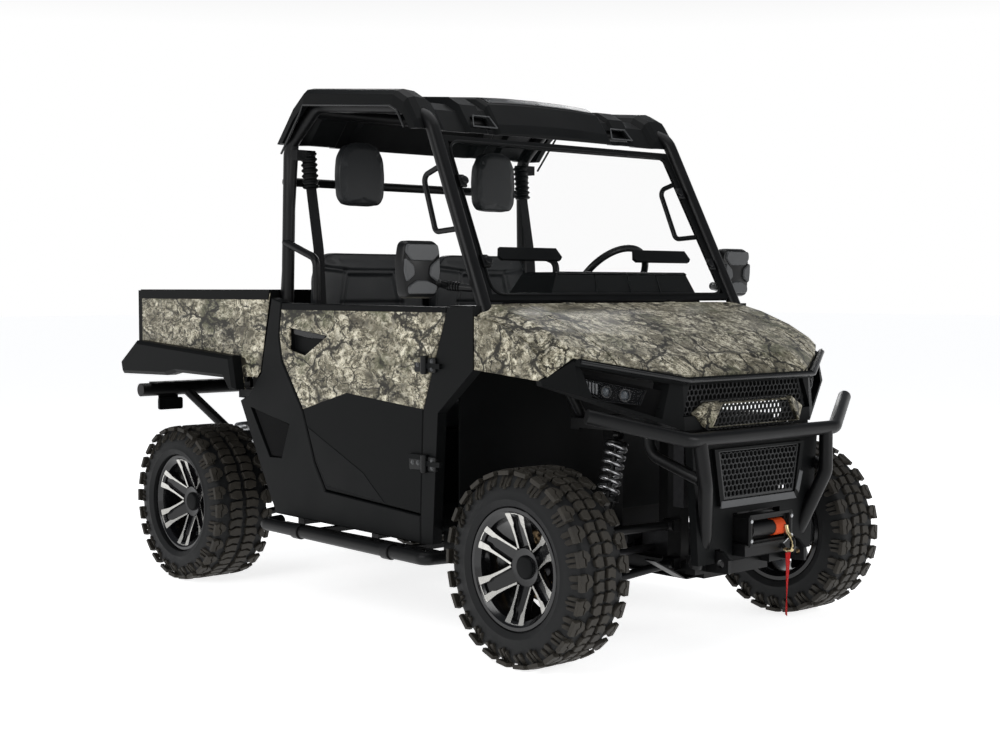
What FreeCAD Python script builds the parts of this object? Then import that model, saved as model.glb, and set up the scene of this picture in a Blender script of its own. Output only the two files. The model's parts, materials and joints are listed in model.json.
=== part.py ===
import FreeCAD, Part
import math
import os

# A two-seat utility vehicle with a cargo bed, in millimetres.
# It is drawn with +Z up, the nose towards -Y, its left side at +X, the floor at Z = 0
# and the front axle at Y = 0. Every piece is then moved so that Y = 0 is mid-length.

V = FreeCAD.Vector

# Wheels and axles
wheelbase = 2127.0
tyre_radius = 328.0
front_tyre_width = 230.0
rear_tyre_width = 280.0
front_wheel_x = 680.0
rear_wheel_x = 638.0
bead_radius = 178.0
lip_radius = 203.0
barrel_wall = 10.0
front_rim_width = 200.0
rear_rim_width = 224.0
hub_depth = 60.0
hub_radius = 44.0
spoke_pairs = 6
spoke_edge = [(62.0, 31.0), (136.0, 35.0), (150.0, 38.0), (192.0, 49.0)]
slot_edge = [(62.0, 23.0), (136.0, 21.0), (148.0, 16.0), (172.0, 18.0)]
disc_radius = 118.0
lug_count = 22
lug_height = 12.0
long_lug_width = 64.0
short_lug_width = 50.0
claw_depth = 6.0
stub_radius = 20.0
running_gap = 0.05
seat_gap = 0.3

# Suspension and steering
kingpin_x = 600.0
rear_upright_x = 572.0
arm_tube_radius = 15.0
ball_boss_radius = 22.0
ball_boss_height = 32.0
arm_inner_x = 192.0
arm_eye_radius = 18.0
arm_eye_length = 44.0
arm_spread = 156.0
lower_arm_z = tyre_radius - 28.0
upper_arm_z = tyre_radius + 104.0
lower_ball_z = tyre_radius - 112.0
upper_ball_z = tyre_radius + 82.0
ball_gap = 6.0
ball_pin_radius = 8.0
rod_gap = 1.0
steer_arm_y = 95.0
steer_arm_thickness = 16.0
rack_z = tyre_radius + 24.0
rack_radius = 12.0
rack_housing_radius = 27.0
rod_eye_height = 24.0
cv_ball_radius = 42.0
shaft_radius = 13.0
prop_z = tyre_radius - 24.0
prop_radius = 14.0
shock_y = -33.0
damper_radius = 15.0
shock_foot_x = 440.0
shock_top_x = 320.0
spring_radius = 38.0
tower_depth = 34.0

# Frame and tubes
rail_x = 150.0
rail_width = 40.0
rail_bottom = tyre_radius - 66.0
rail_height = 44.0
rail_top = rail_bottom + rail_height
rail_tail = 330.0
post_width = 60.0
bed_rail_x = 250.0
engine_length = 392.0
engine_rear_y = wheelbase - 187.0
engine_front_y = engine_rear_y - engine_length
bed_rail_top = 790.0
cage_radius = 25.0
bumper_radius = 24.0
bar_radius = 30.0
rear_bar_z = 779.0
lamp_x = 500.0
step_z = rail_bottom + 56.0
step_arm_ys = (640.0, 1200.0)
silencer_radius = 62.0
silencer_z = 610.0

# Body
side_x = 722.0
panel_wall = 42.0
shell_wall = 12.0
shut_gap = 6.0
belt_z = 1182.0
floor_z = 400.0
floor_wall = 8.0
firewall_y = 428.0
dash_low_z = 955.0
bulkhead_y = 1440.0
seat_top_z = 690.0
seat_front_y = 930.0
cushion_top_z = 800.0
seam_x = 520.0
kink_x = 334.0
corner_x = 643.0
mesh_y = -318.0
mesh_cell = 26.0
mesh_bar = 5.0
door_hinge_x = 735.0
door_hinge_y = 510.0

# Cargo bed
bed_front_y = 1484.0
bed_wall_y = 1562.0
bed_rear_y = 2496.0
bed_floor_z = 885.0
bed_floor_wall = 22.0
bed_wall = 34.0
bed_half_width = 716.0
bed_rail_z = 1236.0
bed_hinge_y = 2380.0
bed_hinge_z = 835.0
hinge_pin_radius = 10.0
tailgate_thickness = 36.0
tail_hinge_y = bed_rear_y + 12.0
tail_hinge_z = bed_floor_z + 4.0
tail_barrel_radius = 8.0
tail_barrel_x = 560.0
tail_barrel_length = 40.0
tail_pin_radius = 4.0

# Cage, screen and controls
cage_foot_x = 669.0
cage_foot_y = 200.0
cage_foot_z = 1030.0
rear_pillar_x = 646.0
cage_head_x = 626.0
pillar_y = 1482.0
cowl_front_y = 262.0
cowl_y = 256.0
bonnet_hinge_y = 264.0
bonnet_hinge_z = 1184.0
bonnet_ear_x = 302.0
bonnet_pin_radius = 3.0
screen_foot_y = 284.0
screen_foot_z = 1196.0
screen_lean = 27.3
screen_length = 660.0
screen_half_low = 634.7
screen_half_high = 596.7
screen_bar = 24.0
wheel_centre_x = 360.0
wheel_centre_y = 664.0
wheel_centre_z = 1262.0
column_angle = 37.0
steering_wheel_radius = 172.0
headrest_x = 360.0
headrest_back_y = 1406.0
belt_x = 572.0
mirror_y = 418.0

# Doors, as (y, z)
door_front = [(399.0, 1176.0), (472.0, 978.0), (531.0, 819.0)]
door_low_front = (544.0, 446.0)
door_rear = [(1398.0, 1184.0), (1417.0, 1059.0), (1397.0, 961.0), (1258.0, 773.0), (1180.0, 578.0), (1112.0, 478.0)]
hinge_zs = [620.0, 962.0]
hinge_leaf = 18.0
door_pin_radius = 4.0

# Towing and winch
tow_eye_radius = 14.0
tow_eye_x = 196.0
tow_eye_y = -396.0
tow_eye_z = rail_bottom + 68.0
tow_eye_thickness = 14.0
receiver_z = rail_top + 44.0
receiver_length = 170.0
hitch_pin_back = 60.0
receiver_half = 25.4
hitch_pin_radius = 8.0
winch_low_z = 346.0
winch_hook_x = 78.0
hook_radius = 7.0
hook_low_z = 352.0
strap_width = 26.0
strap_low_z = 128.0

# Overall reach
front_reach = -480.0
rear_reach = wheelbase + 559.0
length_centre = (front_reach + rear_reach) / 2


def box(xs, ys, zs):
    return Part.makeBox(xs[1] - xs[0], ys[1] - ys[0], zs[1] - zs[0], V(xs[0], ys[0], zs[0]))


def face_of(points):
    return Part.Face(Part.makePolygon(points + [points[0]]))


def along_x(outline, x0, x1):
    # A plate whose outline is given as (y, z).
    return face_of([V(x0, y, z) for y, z in outline]).extrude(V(x1 - x0, 0, 0))


def along_y(outline, y0, y1):
    # A plate whose outline is given as (x, z).
    return face_of([V(x, y0, z) for x, z in outline]).extrude(V(0, y1 - y0, 0))


def along_z(outline, z0, z1):
    # A plate whose outline is given as (x, y).
    return face_of([V(x, y, z0) for x, y in outline]).extrude(V(0, 0, z1 - z0))


def rod(start, end, radius):
    a, b = V(*start), V(*end)
    return Part.makeCylinder(radius, (b - a).Length, a, b - a)


def cone(start, end, r0, r1):
    a, b = V(*start), V(*end)
    return Part.makeCone(r0, r1, (b - a).Length, a, b - a)


def bent_tube(points, radius, bend):
    # A round bar along straight runs joined by tangent arcs of radius bend.
    pts = [V(*p) for p in points]
    edges = []
    last = pts[0]
    for before, corner, after in zip(pts, pts[1:], pts[2:]):
        u = (before - corner).normalize()
        w = (after - corner).normalize()
        half = u.getAngle(w) / 2
        start = corner + u * (bend / math.tan(half))
        end = corner + w * (bend / math.tan(half))
        mid = (u + w).normalize()
        top = corner + mid * (bend / math.sin(half) - bend)
        edges.append(Part.LineSegment(last, start).toShape())
        edges.append(Part.Arc(start, top, end).toShape())
        last = end
    edges.append(Part.LineSegment(last, pts[-1]).toShape())
    ring = Part.Wire(Part.makeCircle(radius, pts[0], pts[1] - pts[0]))
    return Part.Wire(edges).makePipeShell([ring], True, False)


def mirrored(shape):
    return shape.mirror(V(0, 0, 0), V(1, 0, 0))


def both(shape):
    return [shape, mirrored(shape)]


def fused(shapes):
    first, rest = shapes[0], shapes[1:]
    return first.multiFuse(rest).removeSplitter() if rest else first


def loft_across(sections):
    # A faceted solid through outlines in planes of constant x, as (x, [(y, z), ...]).
    wires = []
    for x, outline in sections:
        pts = [V(x, y, z) for y, z in outline]
        wires.append(Part.makePolygon(pts + [pts[0]]))
    return Part.makeLoft(wires, True, True)


def flat_loft(sections):
    # A faceted solid through outlines in level planes, as (z, [(x, y), ...]).
    wires = []
    for z, outline in sections:
        pts = [V(x, y, z) for x, y in outline]
        wires.append(Part.makePolygon(pts + [pts[0]]))
    return Part.makeLoft(wires, True, True)


def bevelled(shape, x, depth):
    # The shape with the edges of its face in the plane at x chamfered.
    edges = [e for e in shape.Edges if all(abs(v.X - x) < 1e-6 for v in e.Vertexes)]
    return shape.makeChamfer(depth, edges)


def thick_line(points, wall):
    # An outline of even height: the points, then the same points lowered by wall.
    return points + [(y, z - wall) for y, z in reversed(points)]


# Wheels

def turned(profile):
    # A ring from a closed (x, radius) profile, turned about the X axis.
    face = face_of([V(x, r, 0) for x, r in profile])
    return face.revolve(V(0, 0, 0), V(1, 0, 0), 360)


def faceted_ring(profile, count):
    # A ring of flat facets from a closed (x, radius) profile, with each radius measured to the flats.
    grow = 1 / math.cos(math.pi / count)
    rows = []
    for i in range(count):
        a = (i + 0.5) * 2 * math.pi / count
        rows.append([V(x, r * grow * math.cos(a), r * grow * math.sin(a)) for x, r in profile])
    faces = []
    for i in range(count):
        here, there = rows[i - 1], rows[i]
        for k in range(len(profile)):
            faces.append(face_of([here[k - 1], here[k], there[k], there[k - 1]]))
    shell = Part.makeShell(faces)
    shell.sewShape()
    solid = Part.makeSolid(shell)
    if solid.Volume < 0:
        solid.reverse()
    return solid


def shoulder_lug(half, claw, width):
    # A tread block at the shoulder with its claw down the sidewall.
    r = tyre_radius
    outline = [(half - 61, r), (half - 20, r), (half, r - 24), (half - 18, r - claw - 10),
               (half - 40, r - claw)]
    face = face_of([V(x, radius, -width / 2) for x, radius in outline])
    return face.extrude(V(0, 0, width))


def tyre(width, rim_width):
    half = width / 2
    side = half - claw_depth
    bead = rim_width / 2 - barrel_wall - seat_gap
    carcass = tyre_radius - lug_height
    quarter = [(bead, bead_radius + seat_gap), (bead, lip_radius + 4), (side, lip_radius + 45),
               (side - 22, carcass)]
    ring = faceted_ring(quarter + [(-x, r) for x, r in reversed(quarter)], lug_count)
    lugs = []
    for i in range(lug_count):
        for end in (0, 1):
            long_one = (i + end) % 2
            claw = 58 if long_one else 42
            lug = shoulder_lug(half, claw, long_lug_width if long_one else short_lug_width)
            if end:
                lug = mirrored(lug)
            lug.rotate(V(0, 0, 0), V(1, 0, 0), i * 360 / lug_count)
            lugs.append(lug)
    whole = ring.fuse(lugs).removeSplitter()
    whole.rotate(V(0, 0, 0), V(1, 0, 0), 180 / lug_count)
    return whole


def turned_about(points, degrees):
    # The (across, out) points of a spoke's edge, turned about the hub.
    c, s = math.cos(math.radians(degrees)), math.sin(math.radians(degrees))
    return [(u * c - v * s, u * s + v * c) for u, v in points]


def spoke_cuts(half):
    # The window between two spoke pairs and the slot within a pair, each repeated round the hub.
    step = 360 / spoke_pairs
    far = lip_radius + 10
    edge = spoke_edge + [(far, spoke_edge[-1][1] + 3)]
    near_side = turned_about(edge, -step / 2)
    far_side = turned_about([(u, -v) for u, v in edge], step / 2)
    window = [(spoke_edge[0][0], 0)] + near_side + list(reversed(far_side))
    slot = [(u, v) for u, v in slot_edge] + [(u, -v) for u, v in reversed(slot_edge)]
    cuts = []
    for i in range(spoke_pairs):
        for outline, turn in ((window, (i + 0.5) * step), (slot, i * step)):
            cuts.append(along_x(turned_about(outline, turn), -half, half + 1))
    return cuts


def rim(width):
    # Barrel, lips and a dished face of twin-pronged spokes, with its outer lip towards +X.
    half = width / 2
    throat = bead_radius - barrel_wall
    barrel = turned([
        (-half, lip_radius), (-half, lip_radius - 14), (-half + 22, throat),
        (half - 22, throat), (half, lip_radius - 14), (half, lip_radius),
        (half - barrel_wall, lip_radius), (half - barrel_wall, bead_radius),
        (-half + barrel_wall, bead_radius), (-half + barrel_wall, lip_radius),
    ])
    hub_x = half - hub_depth
    rim_edge = lip_radius - 15
    dish = turned([
        (hub_x - 26, 0), (hub_x, 0), (hub_x, hub_radius + 6), (half - 4, rim_edge), (half - 8, rim_edge),
        (half - 9.2, bead_radius - 0.4), (half - 16, bead_radius - 1.5), (half - 30, throat + 2),
        (hub_x - 26, hub_radius + 6),
    ])
    dish = dish.cut(spoke_cuts(half))
    cap = cone((hub_x - 1, 0, 0), (hub_x + 9, 0, 0), hub_radius - 2, hub_radius - 6)
    hub = Part.makeCylinder(hub_radius, 60, V(hub_x - 72, 0, 0), V(1, 0, 0))
    disc = Part.makeCylinder(disc_radius, 6, V(hub_x - 66, 0, 0), V(1, 0, 0))
    holes = []
    for i in range(12):
        hole = Part.makeCylinder(7, 10, V(hub_x - 68, 96, 0), V(1, 0, 0))
        hole.rotate(V(0, 0, 0), V(1, 0, 0), i * 30)
        holes.append(hole)
    bore = Part.makeCylinder(stub_radius + running_gap, 56, V(hub_x - 73, 0, 0), V(1, 0, 0))
    return fused([barrel, dish, hub, cap, disc.cut(holes)]).cut(bore)


def wheel(name, at, width, rim_width):
    pieces = {"tyre_" + name: tyre(width, rim_width), "rim_" + name: rim(rim_width)}
    for key, shape in pieces.items():
        if at[0] < 0:
            shape = mirrored(shape)
        shape.translate(V(*at))
        pieces[key] = shape
    return pieces


def wheels():
    out = {}
    for side, sign in (("left", 1), ("right", -1)):
        front = (sign * front_wheel_x, 0, tyre_radius)
        rear = (sign * rear_wheel_x, wheelbase, tyre_radius)
        out.update(wheel("front_" + side, front, front_tyre_width, front_rim_width))
        out.update(wheel("rear_" + side, rear, rear_tyre_width, rear_rim_width))
    return out


# Suspension, steering and drive

def a_arm(axle_y, inner_z, outer_x, outer_z):
    outer = (outer_x, axle_y, outer_z)
    pieces = []
    for side in (-1, 1):
        y = axle_y + side * arm_spread
        pieces.append(rod((arm_inner_x, y, inner_z), outer, arm_tube_radius))
        half = arm_eye_length / 2
        pieces.append(rod((arm_inner_x, y - half, inner_z), (arm_inner_x, y + half, inner_z),
                          arm_eye_radius))
    half = ball_boss_height / 2
    pieces.append(rod((outer_x, axle_y, outer_z - half), (outer_x, axle_y, outer_z + half),
                      ball_boss_radius))
    return fused(pieces)


def arm_height(x, inner_z, outer_x, outer_z):
    return inner_z + (outer_z - inner_z) * (x - arm_inner_x) / (outer_x - arm_inner_x)


def shock_seat(axle_y, outer_x):
    # The plate between a lower arm's legs that carries the shock's foot.
    top = arm_height(shock_foot_x, lower_arm_z, outer_x, lower_ball_z) + 16
    return box((shock_foot_x - 22, shock_foot_x + 22), (axle_y - 62, axle_y + 62), (top - 16, top)), top


def front_arms():
    seat, top = shock_seat(0, kingpin_x)
    lower = fused([a_arm(0, lower_arm_z, kingpin_x, lower_ball_z), seat])
    upper = a_arm(0, upper_arm_z, kingpin_x, upper_ball_z)
    bore = rod((kingpin_x, 0, 0), (kingpin_x, 0, upper_ball_z + 100), ball_pin_radius + running_gap)
    return both(lower.cut(bore)) + both(upper.cut(bore))


def rear_arms():
    hub_x = rear_wheel_x + rear_rim_width / 2 - hub_depth
    x = rear_upright_x
    seat, top = shock_seat(wheelbase, x)
    pieces = [
        seat,
        a_arm(wheelbase, lower_arm_z, x, lower_ball_z),
        a_arm(wheelbase, upper_arm_z, x, upper_ball_z),
        box((x - 14, x + 14), (wheelbase - 20, wheelbase + 20), (lower_ball_z, upper_ball_z)),
        rod((x, wheelbase, tyre_radius), (hub_x - 20, wheelbase, tyre_radius), stub_radius),
        rod((x - 24, wheelbase, tyre_radius), (hub_x - 74, wheelbase, tyre_radius), 40),
    ]
    return both(fused(pieces))


def knuckle():
    hub_x = front_wheel_x + front_rim_width / 2 - hub_depth
    low = lower_ball_z + ball_boss_height / 2 + ball_gap
    high = upper_ball_z - ball_boss_height / 2 - ball_gap
    arm_top = rack_z - rod_eye_height / 2 - rod_gap
    arm_low = arm_top - steer_arm_thickness
    x = kingpin_x
    centre = (x, 0, tyre_radius)
    arm = [(x - 14, 0), (x + 14, 0), (x + 12, steer_arm_y), (x - 12, steer_arm_y)]
    caliper = box((hub_x - 84, hub_x - 42), (-disc_radius - 16, -disc_radius + 48),
                  (tyre_radius - 42, tyre_radius + 42))
    slot = box((hub_x - 71, hub_x - 55), (-disc_radius - 7, -disc_radius + 58),
               (tyre_radius - 50, tyre_radius + 50))
    return fused([
        Part.makeSphere(cv_ball_radius, V(*centre)),
        rod((x, 0, lower_ball_z - 10), (x, 0, low + 10), ball_pin_radius),
        rod((x, 0, high - 10), (x, 0, upper_ball_z + 10), ball_pin_radius),
        rod((x, 0, low), (x, 0, low + 24), ball_boss_radius),
        rod((x, 0, high - 24), (x, 0, high), ball_boss_radius),
        box((x - 14, x + 14), (-18, 18), (low + 2, high - 2)),
        rod(centre, (hub_x - 77, 0, tyre_radius), 34),
        rod(centre, (hub_x - 20, 0, tyre_radius), stub_radius),
        along_z(arm, arm_low, arm_top),
        rod((x, steer_arm_y, arm_low), (x, steer_arm_y, arm_top), 15),
        box((x - 12, hub_x - 76), (-96, 0), (tyre_radius - 16, tyre_radius + 16)),
        caliper.cut(slot),
    ])


def tie_rods():
    y, z, half = steer_arm_y, rack_z, rod_eye_height / 2
    bar = rod((-kingpin_x, y, z), (kingpin_x, y, z), rack_radius)
    eyes = [rod((x, y, z - half), (x, y, z + half), 17) for x in (-kingpin_x, kingpin_x)]
    return fused([bar] + eyes)


def shocks():
    out = []
    for axle_y, outer_x in ((0, kingpin_x), (wheelbase, rear_upright_x)):
        y = axle_y + shock_y
        seat, foot_z = shock_seat(axle_y, outer_x)
        eye = damper_radius
        a = V(shock_foot_x, y, foot_z + seat_gap + eye)
        b = V(shock_top_x, y, bed_rail_top - tower_depth - seat_gap - eye)
        d = (b - a).normalize()
        length = (b - a).Length
        eyes = [Part.makeCylinder(eye, 24, V(p.x, y - 12, p.z), V(0, 1, 0)) for p in (a, b)]
        body = Part.makeCylinder(damper_radius, length, a, d)
        spring = Part.makeCylinder(spring_radius, length * 0.50, a + d * (length * 0.42), d)
        out += both(fused(eyes + [body, spring]))
    return out


def drive_shafts():
    pieces = []
    for axle_y, end_x in ((0, kingpin_x - cv_ball_radius - rod_gap),
                          (wheelbase, rear_upright_x - 24 - seat_gap)):
        gear = box((-108, 108), (axle_y - 90, axle_y + 50), (rail_bottom + 4, 392))
        y, z = axle_y, tyre_radius
        shafts = []
        for side in (-1, 1):
            shafts.append(rod((side * 100, y, z), (side * end_x, y, z), shaft_radius))
            shafts.append(cone((side * (end_x - 70), y, z), (side * (end_x - 6), y, z), shaft_radius, 32))
        pieces.append(fused([gear] + shafts))
    prop = rod((0, 50 + seat_gap, prop_z), (0, engine_front_y - seat_gap, prop_z), prop_radius)
    tail = rod((0, engine_rear_y + seat_gap, prop_z), (0, wheelbase - 90 - seat_gap, prop_z), prop_radius)
    return pieces + [prop, tail]


def engine():
    return box((-122, 122), (engine_front_y, engine_rear_y), (rail_bottom + 4, 640))


def radiator():
    return box((-210, 210), (-232, -186), (500, 755))


# Frame

def arm_ears(side, axle_y, z):
    # The two pairs of ears on the frame's flank that hold one arm's eyes.
    flank = rail_x + rail_width / 2
    xs = sorted((side * flank, side * (arm_inner_x + 8)))
    out = []
    for end in (-1, 1):
        for ear in (-1, 1):
            inner = axle_y + end * arm_spread + ear * (arm_eye_length / 2 + seat_gap)
            out.append(box(xs, sorted((inner, inner + ear * 6)), (z - 20, z + 20)))
    return out


def frame():
    # The two rails with the lower arms' ears and the steering rack's saddles.
    x0, x1 = rail_x - rail_width / 2, rail_x + rail_width / 2
    rack_space = rod((-200, steer_arm_y, rack_z), (200, steer_arm_y, rack_z), rack_housing_radius + seat_gap)
    rails = []
    for side in (-1, 1):
        pieces = [box(sorted((side * x0, side * x1)), (-290, wheelbase + rail_tail), (rail_bottom, rail_top))]
        for axle_y in (0, wheelbase):
            pieces += arm_ears(side, axle_y, lower_arm_z)
        saddle = sorted((side * 96, side * (x0 + 2)))
        pieces.append(box(saddle, (steer_arm_y - 30, steer_arm_y + 30), (rail_top - 40, rack_z)))
        rails.append(fused(pieces).cut(rack_space))
    return rails


def cross_members():
    # The pieces between the rails, and the outriggers on them that carry the floor.
    gap = rail_x - rail_width / 2
    prop_space = rod((0, 60, prop_z), (0, wheelbase, prop_z), prop_radius + 6)
    out = []
    for y in (-270, 700, 1160, engine_front_y - 28, wheelbase + rail_tail - 20):
        out.append(box((-gap, gap), (y - 20, y + 20), (rail_bottom, rail_top)).cut(prop_space))
    for y in (500, 920, 1400):
        out.append(box((-636, 636), (y - 20, y + 20), (rail_top, floor_z - floor_wall - seat_gap)).cut(prop_space))
    return out


def tower(axle_y):
    # Posts over one axle, the upper arms' ears and the crown that holds the shocks' tops.
    x0, x1 = rail_x - rail_width / 2, rail_x + rail_width / 2
    half = post_width / 2
    reach = shock_top_x + 22
    pieces = []
    for side in (-1, 1):
        pieces += arm_ears(side, axle_y, upper_arm_z)
        crown = sorted((side * (shock_top_x - 30), side * reach))
        pieces.append(box(crown, (axle_y - arm_spread - 20, axle_y + arm_spread + 20),
                          (bed_rail_top - tower_depth, bed_rail_top)))
        for end in (-1, 1):
            y = axle_y + end * arm_spread
            pieces.append(box(sorted((side * x0, side * x1)), (y - half, y + half), (rail_top, bed_rail_top - 40)))
    for end in (-1, 1):
        y = axle_y + end * arm_spread
        pieces.append(box((-reach, reach), (y - 20, y + 20), (bed_rail_top - 40, bed_rail_top)))
    return pieces


def bed_rails():
    # The rails below the cargo bed, their front hangers and the bed's hinge ears and pins.
    x0, x1 = rail_x - rail_width / 2, rail_x + rail_width / 2
    y, z = bed_hinge_y, bed_hinge_z
    pieces = []
    for side in (-1, 1):
        rail = sorted((side * (bed_rail_x - 20), side * (bed_rail_x + 20)))
        pieces.append(box(rail, (1500, y + 26), (bed_rail_top - 40, bed_rail_top)))
        ear = [(y - 26, bed_rail_top - 6), (y + 26, bed_rail_top - 6), (y + 20, z + 18), (y - 20, z + 18)]
        pieces.append(along_x(ear, *sorted((side * (bed_rail_x - 16), side * (bed_rail_x - 2)))))
        pieces.append(rod((side * (bed_rail_x - 16), y, z), (side * (bed_rail_x + 22), y, z), hinge_pin_radius))
        hanger = sorted((side * x0, side * x1))
        pieces.append(box(hanger, (1480, 1520), (rail_top, bed_rail_top - 40)))
        link = sorted((side * x0, side * (bed_rail_x + 20)))
        pieces.append(box(link, (1500, 1540), (bed_rail_top - 40, bed_rail_top)))
    return pieces


def axle_towers():
    return [fused(tower(0)), fused(tower(wheelbase) + bed_rails())]


def rack_housing():
    y, z = steer_arm_y, rack_z
    tube = rod((-165, y, z), (165, y, z), rack_housing_radius)
    return tube.cut(rod((-170, y, z), (170, y, z), rack_radius + running_gap))


# Tubes: cage, bumpers and side bars

def cage_tubes(radius):
    # Every tube of the cage at a given radius, so that panels can be cleared round them.
    bend = 90
    side = bent_tube([(cage_foot_x, cage_foot_y, cage_foot_z), (cage_head_x, 600, 1838),
                      (cage_head_x - 8, 730, 1893), (cage_head_x - 8, 1296, 1946),
                      (cage_head_x, pillar_y - 8, 1800), (rear_pillar_x, pillar_y, 800)], radius, bend)
    second = rod((rear_pillar_x, pillar_y + 46, 800), (cage_head_x - 4, pillar_y - 30, 1812), radius * 0.8)
    hip = bent_tube([(rear_pillar_x, pillar_y, 1425), (rear_pillar_x, 1272, 1356),
                     (rear_pillar_x, 1270, 1196)], radius * 0.6, 45)
    grab = bent_tube([(cage_head_x + 8, 510, 1680), (cage_head_x, 640, 1640),
                      (cage_head_x + 10, 560, 1440), (cage_head_x + 18, 400, 1450)], radius * 0.4, 26)
    strut = rod((cage_foot_x - 240, cage_foot_y, cage_foot_z), (300, arm_spread, bed_rail_top - 10),
                radius * 0.8)
    cross = [
        rod((-cage_foot_x, cage_foot_y, cage_foot_z), (cage_foot_x, cage_foot_y, cage_foot_z), radius),
        rod((-cage_head_x, 690, 1850), (cage_head_x, 690, 1850), radius * 0.9),
        rod((-cage_head_x, 1330, 1925), (cage_head_x, 1330, 1925), radius * 0.9),
        rod((-rear_pillar_x, pillar_y, 1662), (rear_pillar_x, pillar_y, 1662), radius * 0.7),
        rod((-rear_pillar_x, pillar_y, 1000), (rear_pillar_x, pillar_y, 1000), radius * 0.9),
    ]
    return both(side) + both(second) + both(hip) + both(grab) + both(strut) + cross


def roll_cage():
    feet = []
    for side in (-1, 1):
        xs = sorted((side * (bed_rail_x - 10), side * (rear_pillar_x + 20)))
        feet.append(box(xs, (pillar_y + 2, pillar_y + 56), (bed_rail_top + seat_gap, 830)))
    frame_space = box((-400, 400), (0, 400), (700, bed_rail_top + seat_gap))
    return fused(cage_tubes(cage_radius) + feet).cut(frame_space)


def front_bumper():
    top = bent_tube([(-684, -240, 836), (-384, -414, 752), (384, -414, 752), (684, -240, 836)],
                    bumper_radius, 60)
    posts = bent_tube([(337, -412, 748), (322, -424, 600), (262, -372, 430), (248, -318, 318)],
                      bumper_radius, 70)
    lower = bent_tube([(352, -198, 772), (356, -216, 690), (322, -400, 618)], bumper_radius * 0.8, 60)
    plates = []
    for side in (-1, 1):
        xs = sorted((side * 130, side * 262))
        plates.append(box(xs, (-330, -290 - seat_gap), (rail_top - 16, rail_top + 44)))
        y, z = tow_eye_y, tow_eye_z
        eye = along_x([(y - 32, z - 30), (-330, z - 34), (-330, z + 42), (y - 2, z + 42), (y - 32, z + 14)],
                      *sorted((side * tow_eye_x, side * (tow_eye_x + tow_eye_thickness))))
        hole = rod((side * 180, y, z), (side * 230, y, z), tow_eye_radius)
        plates.append(eye.cut(hole))
        tab = sorted((side * 318, side * 350))
        plates.append(box(tab, (-216, -arm_spread - 20 - seat_gap), (742, 772)))
    return fused([top] + both(posts) + both(lower) + plates)


def side_steps():
    out = []
    for side in (-1, 1):
        bar = bent_tube([(side * 690, 1462, step_z), (side * 782, 1440, step_z), (side * 782, 448, step_z - 13),
                         (side * 690, 432, step_z - 13)], bumper_radius, 30)
        step = box(sorted((side * 700, side * 764)), (470, 1400), (step_z, step_z + 6))
        slots = [box(sorted((side * 722, side * 745)), (490 + 60 * i, 520 + 60 * i), (step_z - 8, step_z + 12))
                 for i in range(15)]
        inner = rail_x + rail_width / 2 + seat_gap
        arms = [box(sorted((side * inner, side * 775)), (y - 16, y + 16), (step_z - 20, step_z))
                for y in step_arm_ys]
        out.append(fused([bar, step.cut(slots)] + arms))
    return out


def rear_bumper():
    z, y = rear_bar_z, rear_reach - bar_radius
    tail = wheelbase + rail_tail + seat_gap
    bar = rod((-640, y, z), (640, y, z), bar_radius)
    step = box((-590, 590), (y - 70, y + 10), (z + bar_radius - 2, z + bar_radius + 6))
    holes = [rod((-540 + 60 * i, y - 46, z), (-540 + 60 * i, y - 46, z + 60), 14) for i in range(19)]
    struts = []
    for side in (-1, 1):
        struts.append(rod((side * 410, y, z), (side * 260, tail + 15, 560), 22))
        struts.append(box(sorted((side * rail_x, side * 290)), (tail, tail + 30), (rail_top - 16, 590)))
        tab = sorted((side * (lamp_x - 50), side * (lamp_x + 50)))
        struts.append(box(tab, (y - 6, y), (z - 90, z - 10)))
    tube = box((-32, 32), (tail + 10, tail + receiver_length), (receiver_z - 32, receiver_z + 32))
    tube = tube.cut(box((-receiver_half, receiver_half), (tail + 20, tail + receiver_length + 10),
                        (receiver_z - receiver_half, receiver_z + receiver_half)))
    pin_y = tail + receiver_length - hitch_pin_back
    tube = tube.cut(rod((-60, pin_y, receiver_z), (60, pin_y, receiver_z), hitch_pin_radius))
    beam = box((-rail_x, rail_x), (tail, tail + 30), (rail_top - 16, 400))
    return fused([bar, step.cut(holes), tube, beam] + struts)


def tail_lamps():
    # Lamps on the tabs below the rear bar.
    out = []
    for side in (-1, 1):
        x = side * lamp_x
        face = [(x - 56, rear_bar_z - 94), (x + 56, rear_bar_z - 94), (x + 62, rear_bar_z - 86),
                (x + 62, rear_bar_z - 46), (x + 56, rear_bar_z - 38), (x - 56, rear_bar_z - 38),
                (x - 62, rear_bar_z - 46), (x - 62, rear_bar_z - 86)]
        y = rear_reach - bar_radius + seat_gap
        out.append(along_y(face, y, y + 22))
    return out


def exhaust():
    # A silencer across the tail, hung from the rear tower by two straps, with its outlet at the right.
    r, z = silencer_radius, silencer_z
    y = wheelbase + arm_spread + post_width / 2 + r + shut_gap
    body = rod((-190, y, z), (150, y, z), r)
    ends = [cone((-190, y, z), (-214, y, z), r, r - 22), cone((150, y, z), (174, y, z), r, r - 22)]
    outlet = bent_tube([(-200, y, z), (-262, y, z), (-262, y + 56, z - 8)], 22, 34)
    front = wheelbase + arm_spread + 20 + seat_gap
    straps = [box((x - 15, x + 15), (front, y + 10), (z, bed_rail_top - 4)) for x in (-110, 90)]
    return fused([body, outlet] + ends + straps)


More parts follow.
